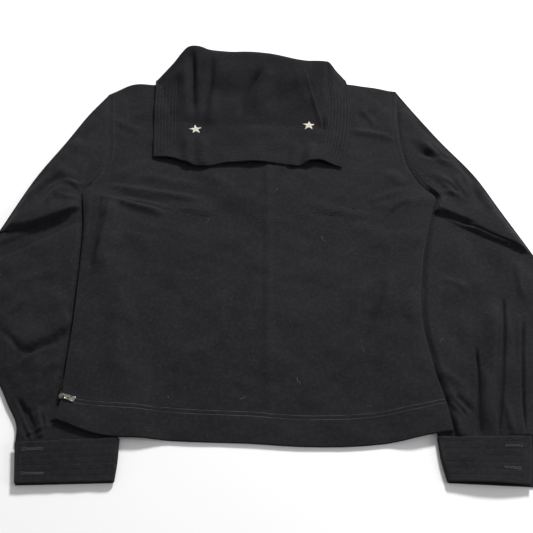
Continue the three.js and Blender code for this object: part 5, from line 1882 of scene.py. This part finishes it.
def make_button(name, x, y):
    r, h, dish, rim = (BUTTON[key] for key in ("radius", "height", "dish", "rim"))
    profile = [(0.6, 0.0), (r - 1.6, 0.0), (r - 0.8, 0.25), (r - 0.15, 1.0), (r, 1.7), (r - 0.2, 2.3),
               (r - 0.7, h - 0.1), (r - 1.1, h), (r - rim, h - 0.12), (r - rim - 0.5, h - dish + 0.1),
               (r - rim - 0.9, h - dish), (0.6, h - dish)]
    points, faces = lathe_points(profile)
    obj = faced_out(new_object(name + "_horn", points + [x, y, BUTTON_LEVEL], faces, HORN))
    cut_points, cut_faces = [], []
    for along in (-BUTTON["spread"], BUTTON["spread"]):
        for aside in (-BUTTON["spread"], BUTTON["spread"]):
            spot = (x + along, y + aside)
            low, high = (*spot, BUTTON_LEVEL - 1), (*spot, BUTTON_LEVEL + h)
            hole, hole_faces = rod(low, high, BUTTON["hole"], HOLE_SIDES)
            first = len(cut_points) * len(hole)
            cut_points.append(hole)
            cut_faces += [tuple(first + c for c in face) for face in hole_faces]
    cutter = faced_out(new_object("hole_cutter", np.concatenate(cut_points), cut_faces, HORN, smooth=False))
    modifier = obj.modifiers.new("holes", "BOOLEAN")
    modifier.operation = "DIFFERENCE"
    modifier.object = cutter
    depsgraph = bpy.context.evaluated_depsgraph_get()
    mesh = bpy.data.meshes.new_from_object(obj.evaluated_get(depsgraph), depsgraph=depsgraph)
    obj.modifiers.remove(modifier)
    obj.data = mesh
    mesh.set_sharp_from_angle(angle=math.radians(35))
    bpy.data.objects.remove(cutter)
    return obj


buttons = {name: make_button(name, *place) for name, place in BUTTONS.items()}


def button_threads():
    """Two crossed bundles of three threads over each button."""
    points, faces = np.zeros((0, 3)), []
    spread, level = BUTTON["spread"], BUTTON_LEVEL + BUTTON["height"] - BUTTON["dish"] - SEWING["sunk"]
    t = np.linspace(-1, 1, 7)
    for x, y in BUTTONS.values():
        for sign in (-1, 1):
            for shift in (-SEWING["apart"], 0.0, SEWING["apart"]):
                z = level + SEWING["rise"] * (1 - t ** 2) + 0.1 * abs(sign + shift)
                line = np.stack([x + t * spread - sign * shift, y + sign * t * spread + shift, z], axis=1)
                more, new_faces = tube(line, SEWING["thread"], len(points))
                points = np.concatenate([points, more])
                faces += new_faces
    return faced_out(new_object("button_threads", points, faces, NAVY_THREAD))


sewn_on = button_threads()

# %% [markdown]
# Lint
#
# Dark wool shows every speck. Pale flecks and short bent hairs lie over the cloth, a few hundred
# in all, so they are strewn by two node trees with fixed seeds.

# %% Lint
def lint_ground():
    """One mesh of all the cloth that faces up and shows."""
    joined = bmesh.new()
    for piece in (back, left_sleeve, right_sleeve, left_cuff, right_cuff, collar):
        joined.from_mesh(piece.data)
    mesh = bpy.data.meshes.new("lint_ground")
    joined.to_mesh(mesh)
    joined.free()
    return add_object("lint_ground", mesh)


ground = lint_ground()
lint_specks = grown("lint_specks", SPECKS, ground, LINT, Density=520.0, Smallest=0.35, Largest=1.15, Seed=21)
lint_hairs = grown("lint_hairs", HAIRS, ground, LINT, Density=95.0, Smallest=0.25, Largest=1.25, Seed=22)
bpy.data.objects.remove(ground)

# %% Floor
def make_floor():
    half = FLOOR_SIZE / 2
    mesh = bpy.data.meshes.new("floor")
    corners = [(-half, -half), (half, -half), (half, half), (-half, half)]
    mesh.from_pydata([(x, y, FLOOR_LEVEL) for x, y in corners], [], [(0, 1, 2, 3)])
    material, tree, shader = new_material("pale_floor")
    fill(tree, shader, {"Base Color": (0.93, 0.93, 0.93, 1), "Roughness": 0.6, "Metallic": 0.0})
    mesh.materials.append(material)
    return add_object("floor", mesh)


floor = make_floor()

# %% Bodies, and the frame's parts that the cloth replaces
def wear(piece, node):
    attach(piece, BODY)
    if node:
        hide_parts(node)


wear(back, "back_panel")
wear(front, "front_panel")
wear(left_sleeve, "sleeve_left")
wear(right_sleeve, "sleeve_right")
wear(left_cuff, "cuff_left")
wear(right_cuff, "cuff_right")
wear(collar, "collar")
for lapel in lapels:
    wear(lapel, None)

for piece in (body_stitches, pit_stitches, hem_stitches, collar_stitches, cuff_stitches, buttonholes, slits,
              sewn_on, lint_specks, lint_hairs):
    wear(piece, None)
wear(tape, "side_zip")
wear(teeth, None)
wear(slider, "zip_slider")
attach(pull, "pull_tab")
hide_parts("zip_pull")
for name, piece in buttons.items():
    wear(piece, name)
wear(stars[0], "star_left")
wear(stars[1], "star_right")
